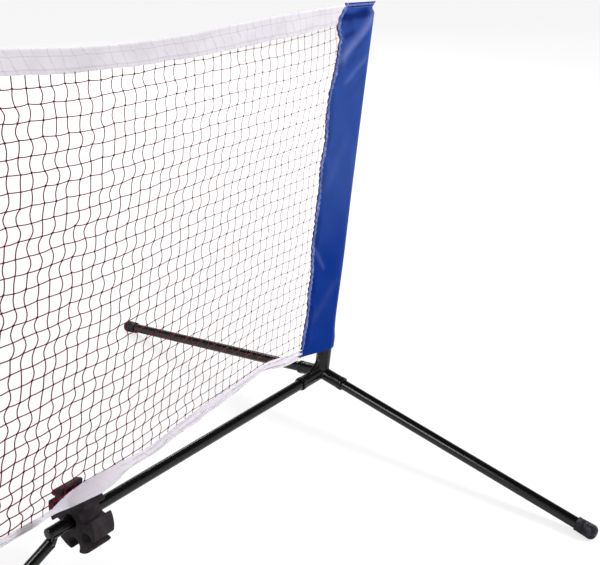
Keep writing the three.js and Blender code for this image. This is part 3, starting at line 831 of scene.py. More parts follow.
plug_face = RAIL_REACH - PLUG_HEAD
plug_corner = (RAIL_REACH - PLUG_ROUND, RAIL_RADIUS - PLUG_ROUND)
plug = turned("rail_plug_cap", [
    (plug_face - 18, 7), (plug_face - 18, 10.2), (plug_face, 10.3), (plug_face + 0.05, 11.3),
    (plug_face + 0.35, RAIL_RADIUS),
] + arc(plug_corner, PLUG_ROUND, 90, 10, 8) + [
    (RAIL_REACH + 0.03, 4), (RAIL_REACH + 0.05, 1),
], hub_middle, rail_way)
shade(plug)
dress(plug, black_plastic, "rail", "black_plastic", "rail_end_plug")

# %% Saddle and ears
def make_saddle():
    """A pressed half ring under the rail, with two ears."""
    middle = Vector((hinge.x + SADDLE_LENGTH / 2 * MM, 0, hub_middle.z))
    inner, outer = RAIL_RADIUS + 0.15, RAIL_RADIUS + 1.6
    start_in = -180 + math.degrees(math.asin(2 / inner))
    start_out = -180 + math.degrees(math.asin(2 / outer))
    outline = arc((0, 0), outer, start_out, -180 - start_out, 28)
    outline += arc((0, 0), inner, -180 - start_in, start_in, 28)
    saddle = plate("saddle", outline, SADDLE_LENGTH, middle, ACROSS_NET, UP, edge=0.4)
    ear = [(0, -12.4), (11, -12.4), (11, -13.2), (EAR * 0.94, -HINGE_DROP - EAR * 0.34)]
    ear += arc((0, -HINGE_DROP), EAR, -30, -180, 18)
    parts = [saddle]
    for side in (-1, 1):
        origin = Vector((hinge.x, side * EAR_PLACE * MM, hub_middle.z))
        parts.append(plate("ear", ear, EAR_PLATE, origin, ALONG_NET, UP, edge=0.4))
    saddle = join("saddle_bracket", parts)
    shade(saddle)
    return saddle


dress(make_saddle(), black_paint, "rail", "black_paint", "hinge_bracket")

# %% Rivet
rivet = turned("hinge_rivet", [
    (-PIN_HALF - 1.5, 2), (-PIN_HALF - 1.1, 3.6), (-PIN_HALF - 0.4, 4.2), (-PIN_HALF, 4),
    (-PIN_HALF, 3), (PIN_HALF, 3), (PIN_HALF, 4), (PIN_HALF + 0.4, 4.2),
    (PIN_HALF + 1.1, 3.6), (PIN_HALF + 1.5, 2),
], hinge, ACROSS_NET, sides=40)
shade(rivet)
dress(rivet, steel, "rail", "steel", "hinge_pin")

# %% [markdown]
# ## The prop's collar
# The prop starts with a moulded collar that comes right up under the rail. Two slots let the
# ears in, the rivet's heads lie in two wider holes, and its upper rim is hollowed where the
# rail and the saddle lie over it.

# %% Prop collar
def make_collar():
    """The prop's head: a grooved cup, cut for the ears, the rivet and the rail."""
    start, length, radius, plug_radius = -1, 19.2, 10.8, 8.6
    groove = start + 8
    collar = turned("prop_collar", [
        (start, 7.5), (start, radius - 0.8), (start + 0.25, radius - 0.25), (start + 0.8, radius),
        (groove, radius), (groove + 0.2, radius - 0.5), (groove + 0.9, radius - 0.5),
        (groove + 1.1, radius - 0.15), (start + length - 0.2, radius - 0.15),
        (start + length, radius - 0.4), (start + length, plug_radius),
        (start + length + 19, plug_radius), (start + length + 20, plug_radius - 1),
    ], hinge, prop_way, sides=56)
    side = ACROSS_NET.cross(prop_way)
    for place in (-1, 1):
        slot = plate(
            "slot", [(-9, -15), (8.2, -15), (8.2, 15), (-9, 15)], EAR_PLATE + 0.8,
            hinge + ACROSS_NET * place * EAR_PLACE * MM, prop_way, side,
        )
        cut_with(collar, slot)
    hole = turned("hole", [
        (-12, 4.5), (-PIN_HALF + 0.2, 4.5), (-PIN_HALF + 0.2, 3.15), (PIN_HALF - 0.2, 3.15),
        (PIN_HALF - 0.2, 4.5), (12, 4.5),
    ], hinge, ACROSS_NET, sides=40)
    cut_with(collar, hole)
    clearance = turned("clearance", [
        (RAIL_REACH - 60, RAIL_RADIUS + 1.8), (RAIL_REACH - 5, RAIL_RADIUS + 1.8),
        (RAIL_REACH - 4.9, RAIL_RADIUS + 0.3), (RAIL_REACH + 0.5, RAIL_RADIUS + 0.3),
    ], hub_middle, rail_way)
    cut_with(collar, clearance)
    shade(collar)
    return collar


dress(make_collar(), black_plastic, "prop", "black_plastic", "prop_knuckle")

# %% [markdown]
# ## The tube clip
# The clip is a thick slice of plastic with a bore for the rail and six open sockets round
# it, each a little over half a circle, so that a tube snaps in. Its outline is walked once
# round: socket, lip, arm, lip, next socket. Points with a sharp turn are rounded in the
# outline, then the slice is extruded and its rims are softened.

# %% Tube clip
CLIP_RADIUS = 65
CLIP_PITCH = 48  # rail's middle to a socket's middle
CLIP_SOCKET = 14.5
CLIP_MOUTH = 22
CLIP_ARMS = 6
CLIP_TURN = 5.5  # degrees that the clip is turned round the rail
CLIP_REACH = 678  # hub to the clip's near face
CLIP_LENGTH = 47


def rounded(outline, sharp=24, reach=6.5):
    """Replace each sharp corner by a short curve."""
    result = []
    for k, corner in enumerate(outline):
        here = Vector(corner)
        back = Vector(outline[k - 1]) - here
        ahead = Vector(outline[(k + 1) % len(outline)]) - here
        turn = 180 - math.degrees(back.angle(ahead))
        if turn < sharp:
            result.append(corner)
            continue
        first = here + back.normalized() * min(reach, back.length * 0.48)
        second = here + ahead.normalized() * min(reach, ahead.length * 0.48)
        result += bent(first, here, second, 5)
    return result


def clip_outline():
    """Once round the clip: mouth, socket, mouth and the rim of the next arm."""
    half_mouth = CLIP_MOUTH / 2
    pinch = math.degrees(math.asin(half_mouth / CLIP_SOCKET))
    corner = math.degrees(math.asin(half_mouth / CLIP_RADIUS))
    outline = []
    for arm in range(CLIP_ARMS):
        middle = CLIP_TURN + (arm + 0.5) * 360 / CLIP_ARMS
        centre = on_circle((0, 0), CLIP_PITCH, middle)
        opening = arc(centre, CLIP_SOCKET, middle - pinch, middle - 360 + pinch, 34)
        rim = arc((0, 0), CLIP_RADIUS, middle + corner, middle + 360 / CLIP_ARMS - corner, 12)
        outline += [on_circle((0, 0), CLIP_RADIUS, middle - corner), opening[0]]
        outline += opening[3:-3] + [opening[-1], rim[0]] + rim[3:-3]
    return rounded(outline)


# %% Cut the clip
def make_clip():
    """The extruded outline with a funnelled bore for the rail."""
    origin = hub_middle + rail_way * (CLIP_REACH + CLIP_LENGTH / 2) * MM
    clip = plate(
        "tube_storage_clip", clip_outline(), CLIP_LENGTH, origin, -ACROSS_NET, UP, edge=2.0,
    )
    bore, funnel = RAIL_RADIUS + 0.3, 6
    passage = turned("passage", [
        (CLIP_REACH - 5, bore + funnel + 2), (CLIP_REACH, bore + funnel - 2),
        (CLIP_REACH + 1.5, bore + 1.5), (CLIP_REACH + funnel, bore),
        (CLIP_REACH + CLIP_LENGTH - funnel, bore), (CLIP_REACH + CLIP_LENGTH - 1.5, bore + 1.5),
        (CLIP_REACH + CLIP_LENGTH, bore + funnel - 2),
        (CLIP_REACH + CLIP_LENGTH + 5, bore + funnel + 2),
    ], hub_middle, rail_way)
    cut_with(clip, passage)
    shade(clip, 32)
    return clip


dress(make_clip(), clip_plastic, "clip", "charcoal_plastic", "storage_clip")

# %% [markdown]
# ## The post's cap
# A shallow plastic dome keeps the tube's edge from cutting the cloth. It is hidden while the
# pocket is on and shows when the net is lifted off.

# %% Post cap
POST_TOP = 790
CAP_RADIUS, CAP_BORE, CAP_SKIRT, CAP_DOME = 13.6, 12.7, 12, 6
quarter = [k * math.pi / 20 for k in range(10)]
cap = turned("post_cap_dome", [
    (POST_TOP + 0.3, 6), (POST_TOP + 0.3, CAP_BORE), (POST_TOP - CAP_SKIRT, CAP_BORE),
    (POST_TOP - CAP_SKIRT, CAP_RADIUS - 0.4), (POST_TOP - CAP_SKIRT + 0.5, CAP_RADIUS),
] + [
    (POST_TOP + 3 + CAP_DOME * math.sin(a), CAP_RADIUS * math.cos(a)) for a in quarter
], hub_middle, post_way)
shade(cap)
dress(cap, black_plastic, "post", "black_plastic", "post_top_cap")

# %% [markdown]
# ## Cloth as a sheet
# Cloth is cut flat, then sewn and hung. Here each sheet is a grid of points, row by row, with
# its UV map measured along the grid, so the UVs are the flat cut. A wall from Solidify makes
# it a closed skin of cloth.

# %% Helpers for cloth
def clamp(*values):
    """The smallest of the values, held between 0 and 1."""
    return max(0.0, min(1.0, *values))


def eased(share):
    """The share again, but with a soft start and end."""
    return share * share * (3 - 2 * share)


def smooth_line(table, place):
    """A smooth curve through a table of (place, value), from low places to high ones."""
    if place <= table[0][0]:
        return table[0][1]
    if place >= table[-1][0]:
        return table[-1][1]
    k = next(k for k in range(len(table) - 1) if place <= table[k + 1][0])
    (x0, y0), (x1, y1) = table[k], table[k + 1]
    def slope(index):
        if index <= 0 or index >= len(table) - 1:
            return 0.0
        (last_x, last_y), (next_x, next_y) = table[index - 1], table[index + 1]
        return (next_y - last_y) / (next_x - last_x)
    t, step = (place - x0) / (x1 - x0), x1 - x0
    return (
        (2 * t ** 3 - 3 * t ** 2 + 1) * y0 + (t ** 3 - 2 * t ** 2 + t) * step * slope(k)
        + (3 * t ** 2 - 2 * t ** 3) * y1 + (t ** 3 - t ** 2) * step * slope(k + 1)
    )


# %% A sheet from a grid
def lengths_along(points):
    """How far along a line of points each of them lies."""
    lengths = [0.0]
    for here, ahead in zip(points, points[1:]):
        lengths.append(lengths[-1] + (ahead - here).length)
    return lengths


def sheet_from(name, rows, wall, masks):
    """A grid of points becomes a sheet with a UV map called cut, in metres."""
    across = len(rows[0])
    starts = [r * across + k for r in range(len(rows) - 1) for k in range(across - 1)]
    faces = [(start, start + 1, start + 1 + across, start + across) for start in starts]
    piece = new_piece(name, [point for row in rows for point in row], faces)
    mesh = piece.data
    lengths = [lengths_along(row) for row in rows]
    heights = lengths_along([row[across // 2] for row in rows])
    layer = mesh.uv_layers.new(name="cut")
    for polygon in mesh.polygons:
        r, k = divmod(polygon.vertices[0], across)
        for slot, (dr, dk) in zip(polygon.loop_indices, ((0, 0), (0, 1), (1, 1), (1, 0))):
            layer.data[slot].uv = (lengths[r + dr][k + dk], heights[r + dr])
    for mask, values in masks.items():
        attribute = mesh.attributes.new(mask, "FLOAT", "POINT")
        attribute.data.foreach_set("value", [float(v) for row in values for v in row])
    use_modifier(piece, "SOLIDIFY", thickness=wall * MM, offset=0)
    shade(piece, 60)
    return piece


def flat_cut(rows):
    """The mean width and length of a sheet's flat cut, in metres."""
    widths = [lengths_along(row)[-1] for row in rows]
    step = max(1, len(rows[0]) // 8)
    spans = [lengths_along([row[k] for row in rows])[-1] for k in range(0, len(rows[0]), step)]
    return sum(widths) / len(widths), sum(spans) / len(spans)


# %% [markdown]
# ## The blue pocket
# One piece of nylon is folded round the post and both edges are sewn together on the net's
# side. Round the post it is a half circle, then both panels run straight to the seam. The
# real one has a long slanting crease from the top of the post to the seam, small puckers
# along the sewing and dents under the hem, so these are added to the panels as offsets. The
# deeper hollows also get painted shade on the cloth, and the crests of the creases a painted
# highlight. In the tables, v runs up the post and u from it towards the net, in millimetres.

# %% Shape of the pocket
SEAM_EDGE = [  # v, distance from the post to the seam's edge
    (57, 92), (80, 90.5), (113, 87), (167, 85), (200, 87), (245, 87), (290, 91), (334, 95),
    (420, 94), (486, 97), (520, 95), (551, 94), (600, 97), (645, 98), (669, 92), (686, 88),
    (702, 86.5), (720, 86), (744, 86), (757, 83), (764, 90.5), (776, 93.5),
    (790, 93.5), (800, 91), (812, 84), (826, 78),
]
POST_SIDE = [  # v, radius of the cloth round the post
    (57, 20.2), (86, 20.2), (110, 17.8), (150, 16.6), (275, 17.4), (420, 16.2), (587, 15.6),
    (700, 15.4), (800, 15.4), (808, 15.9), (812, 16.8), (814.7, 17.3),
]
BINDING = 10  # width of the binding
TOP_FLAT = 0.93  # how flat the pocket is pressed at its closed top
# REAR_MARK also weakens the painted highlight and the painted shade on the rear panel
REAR_CREASE, REAR_MARK = 0.6, 0.5  # the rear panel's creases are weaker by these shares
SLANT = 9.5  # how much higher the top edge is on the post's side than at the seam
LOW_FROM, LOW_FADE = 470, 190  # below this height the cloth grows deeper blue over this way
POCKET_LOW, POCKET_HIGH, HEM_LOW = 57.0, 814.7, 815.0
PANEL_STEPS, ROUND_STEPS, POCKET_ROWS = 34, 20, 250
# each crease also carries a painted highlight, and its last column sets how strong it is
CREASES = [  # start (v, u), end (v, u), height, width, how pale its crest is
    ((809, -6), (696, 92), 4.2, 11, 1.0),
    ((724, 4), (664, 62), 2.0, 7, 0.45),
    ((318, 92), (262, 52), 1.6, 6, 0.35),
    ((792, 60), (742, 84), -2.2, 9, 0.0),
    ((560, 30), (430, 84), 1.0, 14, 0.12),
    ((236, 10), (140, 70), 0.9, 12, 0.1),
]
# each line below paints shade into a hollow of the cloth
SHADES = [  # start (v, u), end (v, u), width, how dark the hollow is
    ((811, -16), (795, 88), 8.5, 0.95),
    ((806, 0), (800, 44), 6, 0.5),
    ((800, 66), (797, 92), 4.5, 0.6),
    ((773, 46), (757, 70), 5.5, 0.65),
    ((792, 56), (776, 80), 10, 0.3),
    ((776, 2), (734, 42), 6, 0.3),
    ((724, 34), (698, 58), 7, 0.3),
    ((700, -10), (640, 40), 8, 0.15),
]

# %% Creases, puckers and slack
rng = random.Random(7)
PUCKERS = [(rng.uniform(60, 800), rng.uniform(0.5, 1.3), rng.uniform(6, 13)) for _ in range(46)]


def line_offset(v, u, start, end, width):
    """How near a point is to a slanting crease: 1 on it, fading to 0."""
    along = Vector((end[0] - start[0], end[1] - start[1]))
    here = Vector((v - start[0], u - start[1]))
    t = here.dot(along) / along.length_squared
    fade = clamp((t + 0.12) / 0.3, (1.12 - t) / 0.3)
    away = abs(along.x * here.y - along.y * here.x) / along.length
    return eased(fade) * math.exp(-((away / width) ** 2))


def pucker(v, u, seam):
    """Small gathers that start at the sewing and die out towards the post."""
    near = math.exp(-(seam - BINDING - u) / 16)
    return near * sum(
        depth * math.exp(-(((v - place) / width) ** 2)) for place, depth, width in PUCKERS
    )


def slack(v, u):
    """The long soft unevenness of a hung panel."""
    return (
        0.8 * math.sin(v / 37 + u / 21) + 0.5 * math.sin(v / 19 - u / 13 + 1.3)
        + 0.35 * math.sin(v / 71 + 2.1)
    )


# %% One section of the pocket
def pocket_row(v):
    """One section of the pocket, with its marks: front panel, round the post, rear panel."""
    seam = smooth_line(SEAM_EDGE, v) - BINDING * 0.75
    radius = smooth_line(POST_SIDE, v)
    flat = 1 - TOP_FLAT * smooth_line([(804, 0), (814.7, 1)], v)
    skew = smooth_line([(57, 11), (75, 6), (110, 0), (770, 0), (814.7, SLANT)], v)
    skew /= radius + seam
    tangent = math.pi - math.acos(radius / seam)
    round_part = [
        (-radius * math.cos(a), radius * math.sin(a) * flat)
        for a in [-tangent + 2 * tangent * k / ROUND_STEPS for k in range(ROUND_STEPS + 1)]
    ]
    edge_u, edge_y = round_part[-1]
    rear = [
        (edge_u + (seam - edge_u) * k / PANEL_STEPS, edge_y + (0.7 - edge_y) * k / PANEL_STEPS)
        for k in range(1, PANEL_STEPS + 1)
    ]
    front = [(u, -y) for u, y in reversed(rear)]
    points, creases, shades = [], [], []
    for u, y in front + round_part + rear:
        side = -1 if y < 0 else 1
        panel = clamp((u + 2) / 14) * clamp((seam - u) / 9)
        crest = sum(h * line_offset(v, u, a, b, w) for a, b, h, w, _ in CREASES)
        bulge = panel * (1.0 + slack(v + (40 if side > 0 else 0), u) + pucker(v, u, seam))
        bulge += panel * crest * (1 if side < 0 else REAR_CREASE)
        climb = skew * (seam - u)
        points.append(up_post(v + climb, u, y + side * max(bulge, -abs(y) * 0.7)))
        # mark is the painted highlight on the crests and dark is the painted shade in the hollows
        mark = sum(s * line_offset(v, u, a, b, w * 0.75) for a, b, _, w, s in CREASES)
        back = REAR_MARK if side > 0 else 1.0
        creases.append(min(1.0, mark * back))
        dark = sum(depth * line_offset(v, u, a, b, w) for a, b, w, depth in SHADES)
        shades.append(min(0.95, dark) * back)
    return points, creases, shades


# %% Sew the pocket
CLOTH_WALL = 0.8
levels = [
    POCKET_LOW + (POCKET_HIGH - POCKET_LOW) * r / POCKET_ROWS for r in range(POCKET_ROWS + 1)
]
# crease_highlight_rows hold the painted highlight and shade_rows the painted shade
pocket_rows, crease_highlight_rows, shade_rows = zip(*[pocket_row(v) for v in levels])
low_rows = [[clamp((LOW_FROM - v) / LOW_FADE)] * len(pocket_rows[0]) for v in levels]
pocket = sheet_from(
    "cloth_pocket", pocket_rows, CLOTH_WALL,
    {"crease": crease_highlight_rows, "shade": shade_rows, "low": low_rows},
)
dress(pocket, blue_cloth, "net", "blue_cloth", "net_sleeve")
pocket_width, pocket_length = flat_cut(pocket_rows)
print("pocket cut", round(pocket_width, 3), "by", round(pocket_length, 3), "m")

# %% [markdown]
# ## The hem at the top
# The top edge is turned over once and sewn flat with two lines of pale thread. Its corner on
# the post's side stands out a little, because it is left unsewn there.

# %% Hem
HEM_HEIGHT = 11
HEM_STEPS = 60
HEM_ROUND = 40  # steps up the front and down the back of one column
HEM_WALL = 0.7
HEM_CORNER, CORNER_OUT, CORNER_CURL = -17.3, 13.4, 2.4  # the free corner on the post's side


def hem_lift(k):
    """How far up the hem the k-th point of a column is: 0 at its edges, 1 at the fold."""
    return 1 - abs(2 * k / HEM_ROUND - 1) ** 1.4


def hem_column(share):
    """One column of the folded hem, up its front and down its back."""
    column = []
    for k in range(HEM_ROUND + 1):
        lift = hem_lift(k)
        side = -1 if 2 * k < HEM_ROUND else 1
        v = HEM_LOW + HEM_HEIGHT * lift
        seam = smooth_line(SEAM_EDGE, v) - BINDING * 0.72
        near = HEM_CORNER - CORNER_OUT * lift ** 1.2
        u = seam + (near - seam) * share
        climb = (SLANT - 0.5 * lift) * share
        wave = 0.5 * math.sin(share * 19 + 0.6) * lift + 0.35 * math.sin(share * 43) * (1 - lift)
        curl = CORNER_CURL * lift * max(0.0, share - 0.82) / 0.18
        gape = 1.15 * (1 - lift ** 6) + 0.25 * math.sin(share * 31) * lift * (1 - lift) * 4
        column.append(up_post(v + climb, u, side * gape + wave + curl))
    return column


def band(lift, low, high):
    """1 between two levels of the hem, fading over a short way outside them."""
    return clamp((lift - low) / 0.05 + 1, (high - lift) / 0.05 + 1)


# %% Turn the hem
hem_rows = [hem_column(k / HEM_STEPS) for k in range(HEM_STEPS + 1)]
lifts = [hem_lift(k) for k in range(HEM_ROUND + 1)]
# painted shade along the top of the fold and in a line lower down the hem, and a painted highlight
# in a band on its face and, fainter, along its lower edge
hem_shade = [clamp(band(lift, 0.84, 1.2) + 0.95 * band(lift, 0.16, 0.34)) for lift in lifts]
hem_painted_highlight = [band(lift, 0.48, 0.74) + 0.35 * band(lift, 0, 0.1) for lift in lifts]
hem = sheet_from(
    "pocket_hem", hem_rows, HEM_WALL,
    {"crease": [hem_painted_highlight] * len(hem_rows), "shade": [hem_shade] * len(hem_rows),
     "low": [[0.0] * len(lifts)] * len(hem_rows)},
)
dress(hem, blue_cloth, "net", "blue_cloth", "sleeve_top_hem")

# %% [markdown]
# ## Stitches
# A stitch is a short piece of thread that dives into the cloth at both ends. Each is a small
# six-sided grain, as long as the way between its two holes, and all the grains of one line
# of sewing are one piece. A zigzag is the same stitch laid alternately left and right.

# %% Stitches
TOP_STITCH, LOW_STITCH = 7, 1  # points of the hem's column where the two lines of thread lie
HEM_STITCHES, STITCH_SHARE = 34, 0.72  # stitches in a line, share of the pitch that shows
HEM_SEWN_FROM, HEM_SEWN = 0.02, 0.95  # where the sewing starts and how far it goes, as shares
HEM_THREAD, HEM_THREAD_OUT = 0.7, 0.55


def grain_mesh(length, width, sides=6):
    """A grain of thread along +X with blunt, closed ends."""
    rings = [(-0.5, 0.15), (-0.38, 0.8), (0.0, 1.0), (0.38, 0.8), (0.5, 0.15)]
    points = [
        Vector((place * length, math.cos(a) * out * width / 2, math.sin(a) * out * width / 2))
        for place, out in rings
        for a in [2 * math.pi * k / sides for k in range(sides)]
    ]
    faces = [tuple(reversed(range(sides)))]
    for r in range(len(rings) - 1):
        for k in range(sides):
            a, b = r * sides + k, r * sides + (k + 1) % sides
            faces.append((a, b, b + sides, a + sides))
    faces.append(tuple(range((len(rings) - 1) * sides, len(rings) * sides)))
    return points, faces


def sew(name, stitches, width):
    """Lay a grain of thread between each pair of points."""
    points, faces = [], []
    for start, end, out in stitches:
        along = end - start
        grain, grain_faces = grain_mesh(along.length, width * MM)
        forward = along.normalized()
        side = out.cross(forward).normalized()
        turn = Matrix((forward, side, forward.cross(side))).transposed()
        base = len(points)
        points += [(start + end) / 2 + turn @ point for point in grain]
        faces += [tuple(base + k for k in face) for face in grain_faces]
    piece = new_piece(name, points, faces)
    clean_up(piece, 0.001)
    shade(piece, 60)
    return piece


# %% Sew the hem
stitches = []
pitch = HEM_SEWN / HEM_STITCHES
for level, side in (
    (LOW_STITCH, -1), (TOP_STITCH, -1), (HEM_ROUND - LOW_STITCH, 1), (HEM_ROUND - TOP_STITCH, 1),
):
    for k in range(HEM_STITCHES):
        share = HEM_SEWN_FROM + pitch * k
        out = ACROSS_NET * side * HEM_THREAD_OUT * MM
        start = hem_column(share)[level] + out
        end = hem_column(share + pitch * STITCH_SHARE)[level] + out
        stitches.append((start, end, ACROSS_NET * side))
hem_stitches = sew("pocket_stitches", stitches, HEM_THREAD)
dress(hem_stitches, pale_thread, "net", "blue_binding")

# %% [markdown]
# ## The binding along the seam
# A ribbed ribbon is folded over the raw edges and sewn through with a zigzag. The sewing
# pulls it, so its outer edge is scalloped and its sides swell between the stitches.

# %% Binding
BIND_ROWS = 420
BIND_ROUND = 16  # steps over the fold
BIND_LOW, BIND_HIGH = 57.0, 826.3
BIND_WALL = 0.6
FRAYED_ROWS = 28  # the low corner, where the raw edge shows dark


def binding_edge(v):
    """The scalloped outer edge of the binding."""
    scallop = 3.0 * abs(math.sin(v / 5.1 + 0.8 * math.sin(v / 19))) + 1.2 * math.sin(v / 15.1)
    return smooth_line(SEAM_EDGE, v) + scallop - 1.7


def binding_row(v):
    """Front inner edge, round the outer edge, to the rear inner edge."""
    edge = binding_edge(v)
    inner = smooth_line(SEAM_EDGE, v) - BINDING + 0.5 * math.sin(v / 3.1 + 0.4)
    swell = 1.45 + 0.45 * math.sin(v / 2.05 + 1.2) + 0.35 * math.sin(v / 6.7)
    drift = 0.6 * math.sin(v / 23) + 0.35 * math.sin(v / 9 + 2)
    row = []
    for k in range(BIND_ROUND + 1):
        turn = k / BIND_ROUND
        fold = abs(2 * turn - 1)
        side = -1 if turn < 0.5 else 1
        u = edge + (inner - edge) * fold ** 1.5
        thick = swell * (1 - (1 - min(1.0, fold * 2.6)) ** 2) ** 0.5 * (1 - 0.25 * fold)
        row.append(up_post(v, u, side * thick + drift * fold * 0.4))
    return row


# %% Fold the binding
binding_rows = [
    binding_row(BIND_LOW + (BIND_HIGH - BIND_LOW) * r / BIND_ROWS) for r in range(BIND_ROWS + 1)
]
# painted shade along the outer fold of the binding
painted_fold_shade = [
    math.exp(-(((k / BIND_ROUND - 0.5) / 0.1) ** 2)) for k in range(BIND_ROUND + 1)
]
rim = []
for r in range(BIND_ROWS + 1):
    frayed = 0.8 * max(0.0, 1 - r / FRAYED_ROWS)
    rim.append([
        clamp(value + frayed * (0.5 + 0.5 * math.sin(r * 1.7 + k)))
        for k, value in enumerate(painted_fold_shade)
    ])
binding = sheet_from("seam_binding", binding_rows, BIND_WALL, {"rim": rim})
dress(binding, binding_cloth, "net", "blue_binding", "sleeve_seam_binding")

# %% Zigzag along the binding
ZIGZAG_STEP, ZIGZAG_SWING = 2.6, 2.1
ZIGZAG_INSET = 5.6  # from the seam's edge to the middle of the zigzag
ZIGZAG_MARGIN = 3
ZIGZAG_THREAD = 0.55


def zigzag_point(v, side, way):
    """A hole of the zigzag, to the left or the right of its middle."""
    u = smooth_line(SEAM_EDGE, v) - ZIGZAG_INSET + way * ZIGZAG_SWING
    out = 1.75 + 0.4 * math.sin(v / 2.05 + 1.2) + 0.3 * math.sin(v / 6.7)
    return up_post(v, u, side * out)


zigzag = []
for side in (-1, 1):
    for k in range(int((BIND_HIGH - BIND_LOW - 2 * ZIGZAG_MARGIN) / ZIGZAG_STEP)):
        v = BIND_LOW + ZIGZAG_MARGIN + k * ZIGZAG_STEP
        way = 1 if k % 2 else -1
        start, end = zigzag_point(v, side, way), zigzag_point(v + ZIGZAG_STEP, side, -way)
        zigzag.append((start, end, ACROSS_NET * side))
binding_stitches = sew("binding_stitches", zigzag, ZIGZAG_THREAD)
dress(binding_stitches, pale_thread, "net", "blue_binding")

# %% [markdown]
# ## Where the net hangs
# The net is a grid of square meshes between the tapes. Its rows follow the tapes: they sag
# under the top one and ride over the bottom one. Its columns run nearly parallel to the
# seam, so they drift towards the far side on their way down. `column_x` and `knot_at` hold
# that whole drape. Close to the clip the net has to hang in front of the clip's path, so
# `over_clip` draws its points towards the camera, which leaves the picture as it is. The
# tables hold what was read off the photograph, turned into millimetres from the hub.

# %% The drape of the net
NET_END = 880
NET_ROWS = 28
FIRST_COLUMN, LAST_COLUMN = -5, 46  # the columns before 0 end on the seam further down
TOP_ROW = [  # x and z of the top row of knots
    (-880, 800), (-766, 786), (-718, 781), (-626, 774), (-500, 772), (-315, 773), (-165, 774),
    (-105, 776), (-52, 779), (18, 785), (90, 791),
]
LOW_ROW = [  # x and z of the bottom row
    (-880, 52), (-847, 53), (-778, 58), (-669, 67), (-590, 68), (-420, 88), (-254, 101),
    (-214, 105), (-135, 104), (-101, 103), (0, 101),
]
LEAN_NEAR = [  # share of the way down, drift of a column beside the post
    (0, 0), (0.107, -1), (0.176, -14), (0.248, -24), (0.32, -42), (0.39, -54), (0.46, -62),
    (0.53, -69), (0.6, -75), (0.68, -82), (0.75, -93), (0.82, -103), (0.89, -113), (1, -121),
]
LEAN_FAR = [(0, 0), (0.2, -4), (0.4, -28), (0.6, -58), (0.8, -92), (1, -122)]
FIRST_TOP, NEAR_COLUMNS, FAR_PITCH = 18, 22, 22.9  # columns by the post hang closer together


def seam_x(z):
    """Where the binding's outer edge crosses a level, in millimetres from the hub."""
    v = z * post_way.z
    for _ in range(4):
        edge = smooth_line(SEAM_EDGE, v)
        v = (z - edge * net_way.z) / post_way.z
    return v * post_way.x + smooth_line(SEAM_EDGE, v) * net_way.x


def column_top(number):
    """Where a column meets the top row; columns are counted from the post."""
    if number <= NEAR_COLUMNS:
        return FIRST_TOP - 19.6 * number - 0.078 * number ** 2
    return column_top(NEAR_COLUMNS) - FAR_PITCH * (number - NEAR_COLUMNS)


def column_x(number, t):
    """Where a column is at a share of its way down."""
    x_top = column_top(number)
    share = clamp(-x_top / NET_END)
    return x_top + smooth_line(LEAN_NEAR, t) * (1 - share) + smooth_line(LEAN_FAR, t) * share


def knot_at(number, row):
    """Where a column and a row are tied, with the unevenness of real knots."""
    t = row / NET_ROWS
    x = column_x(number, t)
    far = clamp(-x / NET_END)
    sink = t + 0.019 * far * math.sin(math.pi * t ** 2.88)
    top, low = smooth_line(TOP_ROW, x), smooth_line(LOW_ROW, x)
    jitter = random.Random(number * 97 + row)
    z = top + (low - top) * sink
    loose = 0.9 + far
    return Vector((
        x + jitter.uniform(-1.2, 1.2) * loose, jitter.uniform(-0.5, 0.5),
        z + jitter.uniform(-1, 1) * loose,
    ))


print("seam beside the tapes, in millimetres:", round(seam_x(785), 1), round(seam_x(90), 1))

# %% Clear of the clip
EYE = Vector((-1.13354, -1.1934, 1.21997))  # where the camera stands
CLIP_CLEAR = 68.5  # radius round the rail that the clip needs to pass
CLEAR_FROM, CLEAR_TO = -845, -640  # where along the net its path is kept clear


def over_clip(x, y, z):
    """Draw a point of the net towards the camera until the sliding clip passes under it."""
    sight = (EYE - from_hub(x, y, z)) / MM
    sight /= -sight.y
    inside = y * y + z * z - CLIP_CLEAR ** 2
    fade = clamp((x - CLEAR_FROM) / 60, (CLEAR_TO - x) / 30)
    if inside >= 0 or fade == 0:
        return Vector((x, y, z))
    slope = 1 + sight.z ** 2
    half = sight.z * z - y
    step = (math.sqrt(half * half - slope * inside) - half) / slope
    return Vector((x, y, z)) + sight * step * eased(fade)


print("the net keeps", CLIP_CLEAR, "mm from the rail beside the clip")

# %% [markdown]
# ## The white tapes
# Each tape is a long ribbon folded over the edge of the net and sewn below the fold. The top
# one hangs in a shallow curve. The bottom one is slack: it is gathered into folds wherever
# it is narrower than its cut, and it lies over the clip's front upper arm, where it is painted
# grey as painted shade.

# %% Shape of the tapes
TOP_UPPER = [  # x and z of the top tape's fold
    (-880, 858), (-763, 843), (-631, 828), (-503, 820), (-370, 819), (-290, 822), (-151, 825),
    (24, 824), (60, 824),
]
TOP_LOWER = [  # and of its lower edge
    (-880, 822), (-767, 805.5), (-657, 791.5), (-531, 784), (-464, 781), (-370, 779),
    (-200, 781), (-80, 784), (16, 787), (60, 788),
]
LOW_UPPER = [  # the same for the low tape
    (-880, 50), (-847, 46), (-800, 45), (-770, 45), (-735, 58), (-684, 66), (-617, 64),
    (-534, 63), (-420, 82), (-277, 97.5), (-205, 105), (-143, 97), (-81, 89), (0, 82),
]
LOW_LOWER = [
    (-880, 33), (-834, 35), (-774, 37), (-743, 27), (-688, 22), (-649, 25), (-597, 36),
    (-535, 41), (-420, 60), (-278, 75), (-205, 86), (-142, 73), (-80, 67.5), (0, 60),
]
TAPE_CUT = 42  # width of one side of the ribbon before it is gathered
TAPE_WALL = 0.35
TAPE_STEP = 2.2
TAPE_HALF, FOLD_BEAD, EDGE_BEAD = 0.55, 0.95, 0.35  # half thickness, more at fold and edge
GATHER_DEPTH, BULGE_OVER = 4.4, 3.6
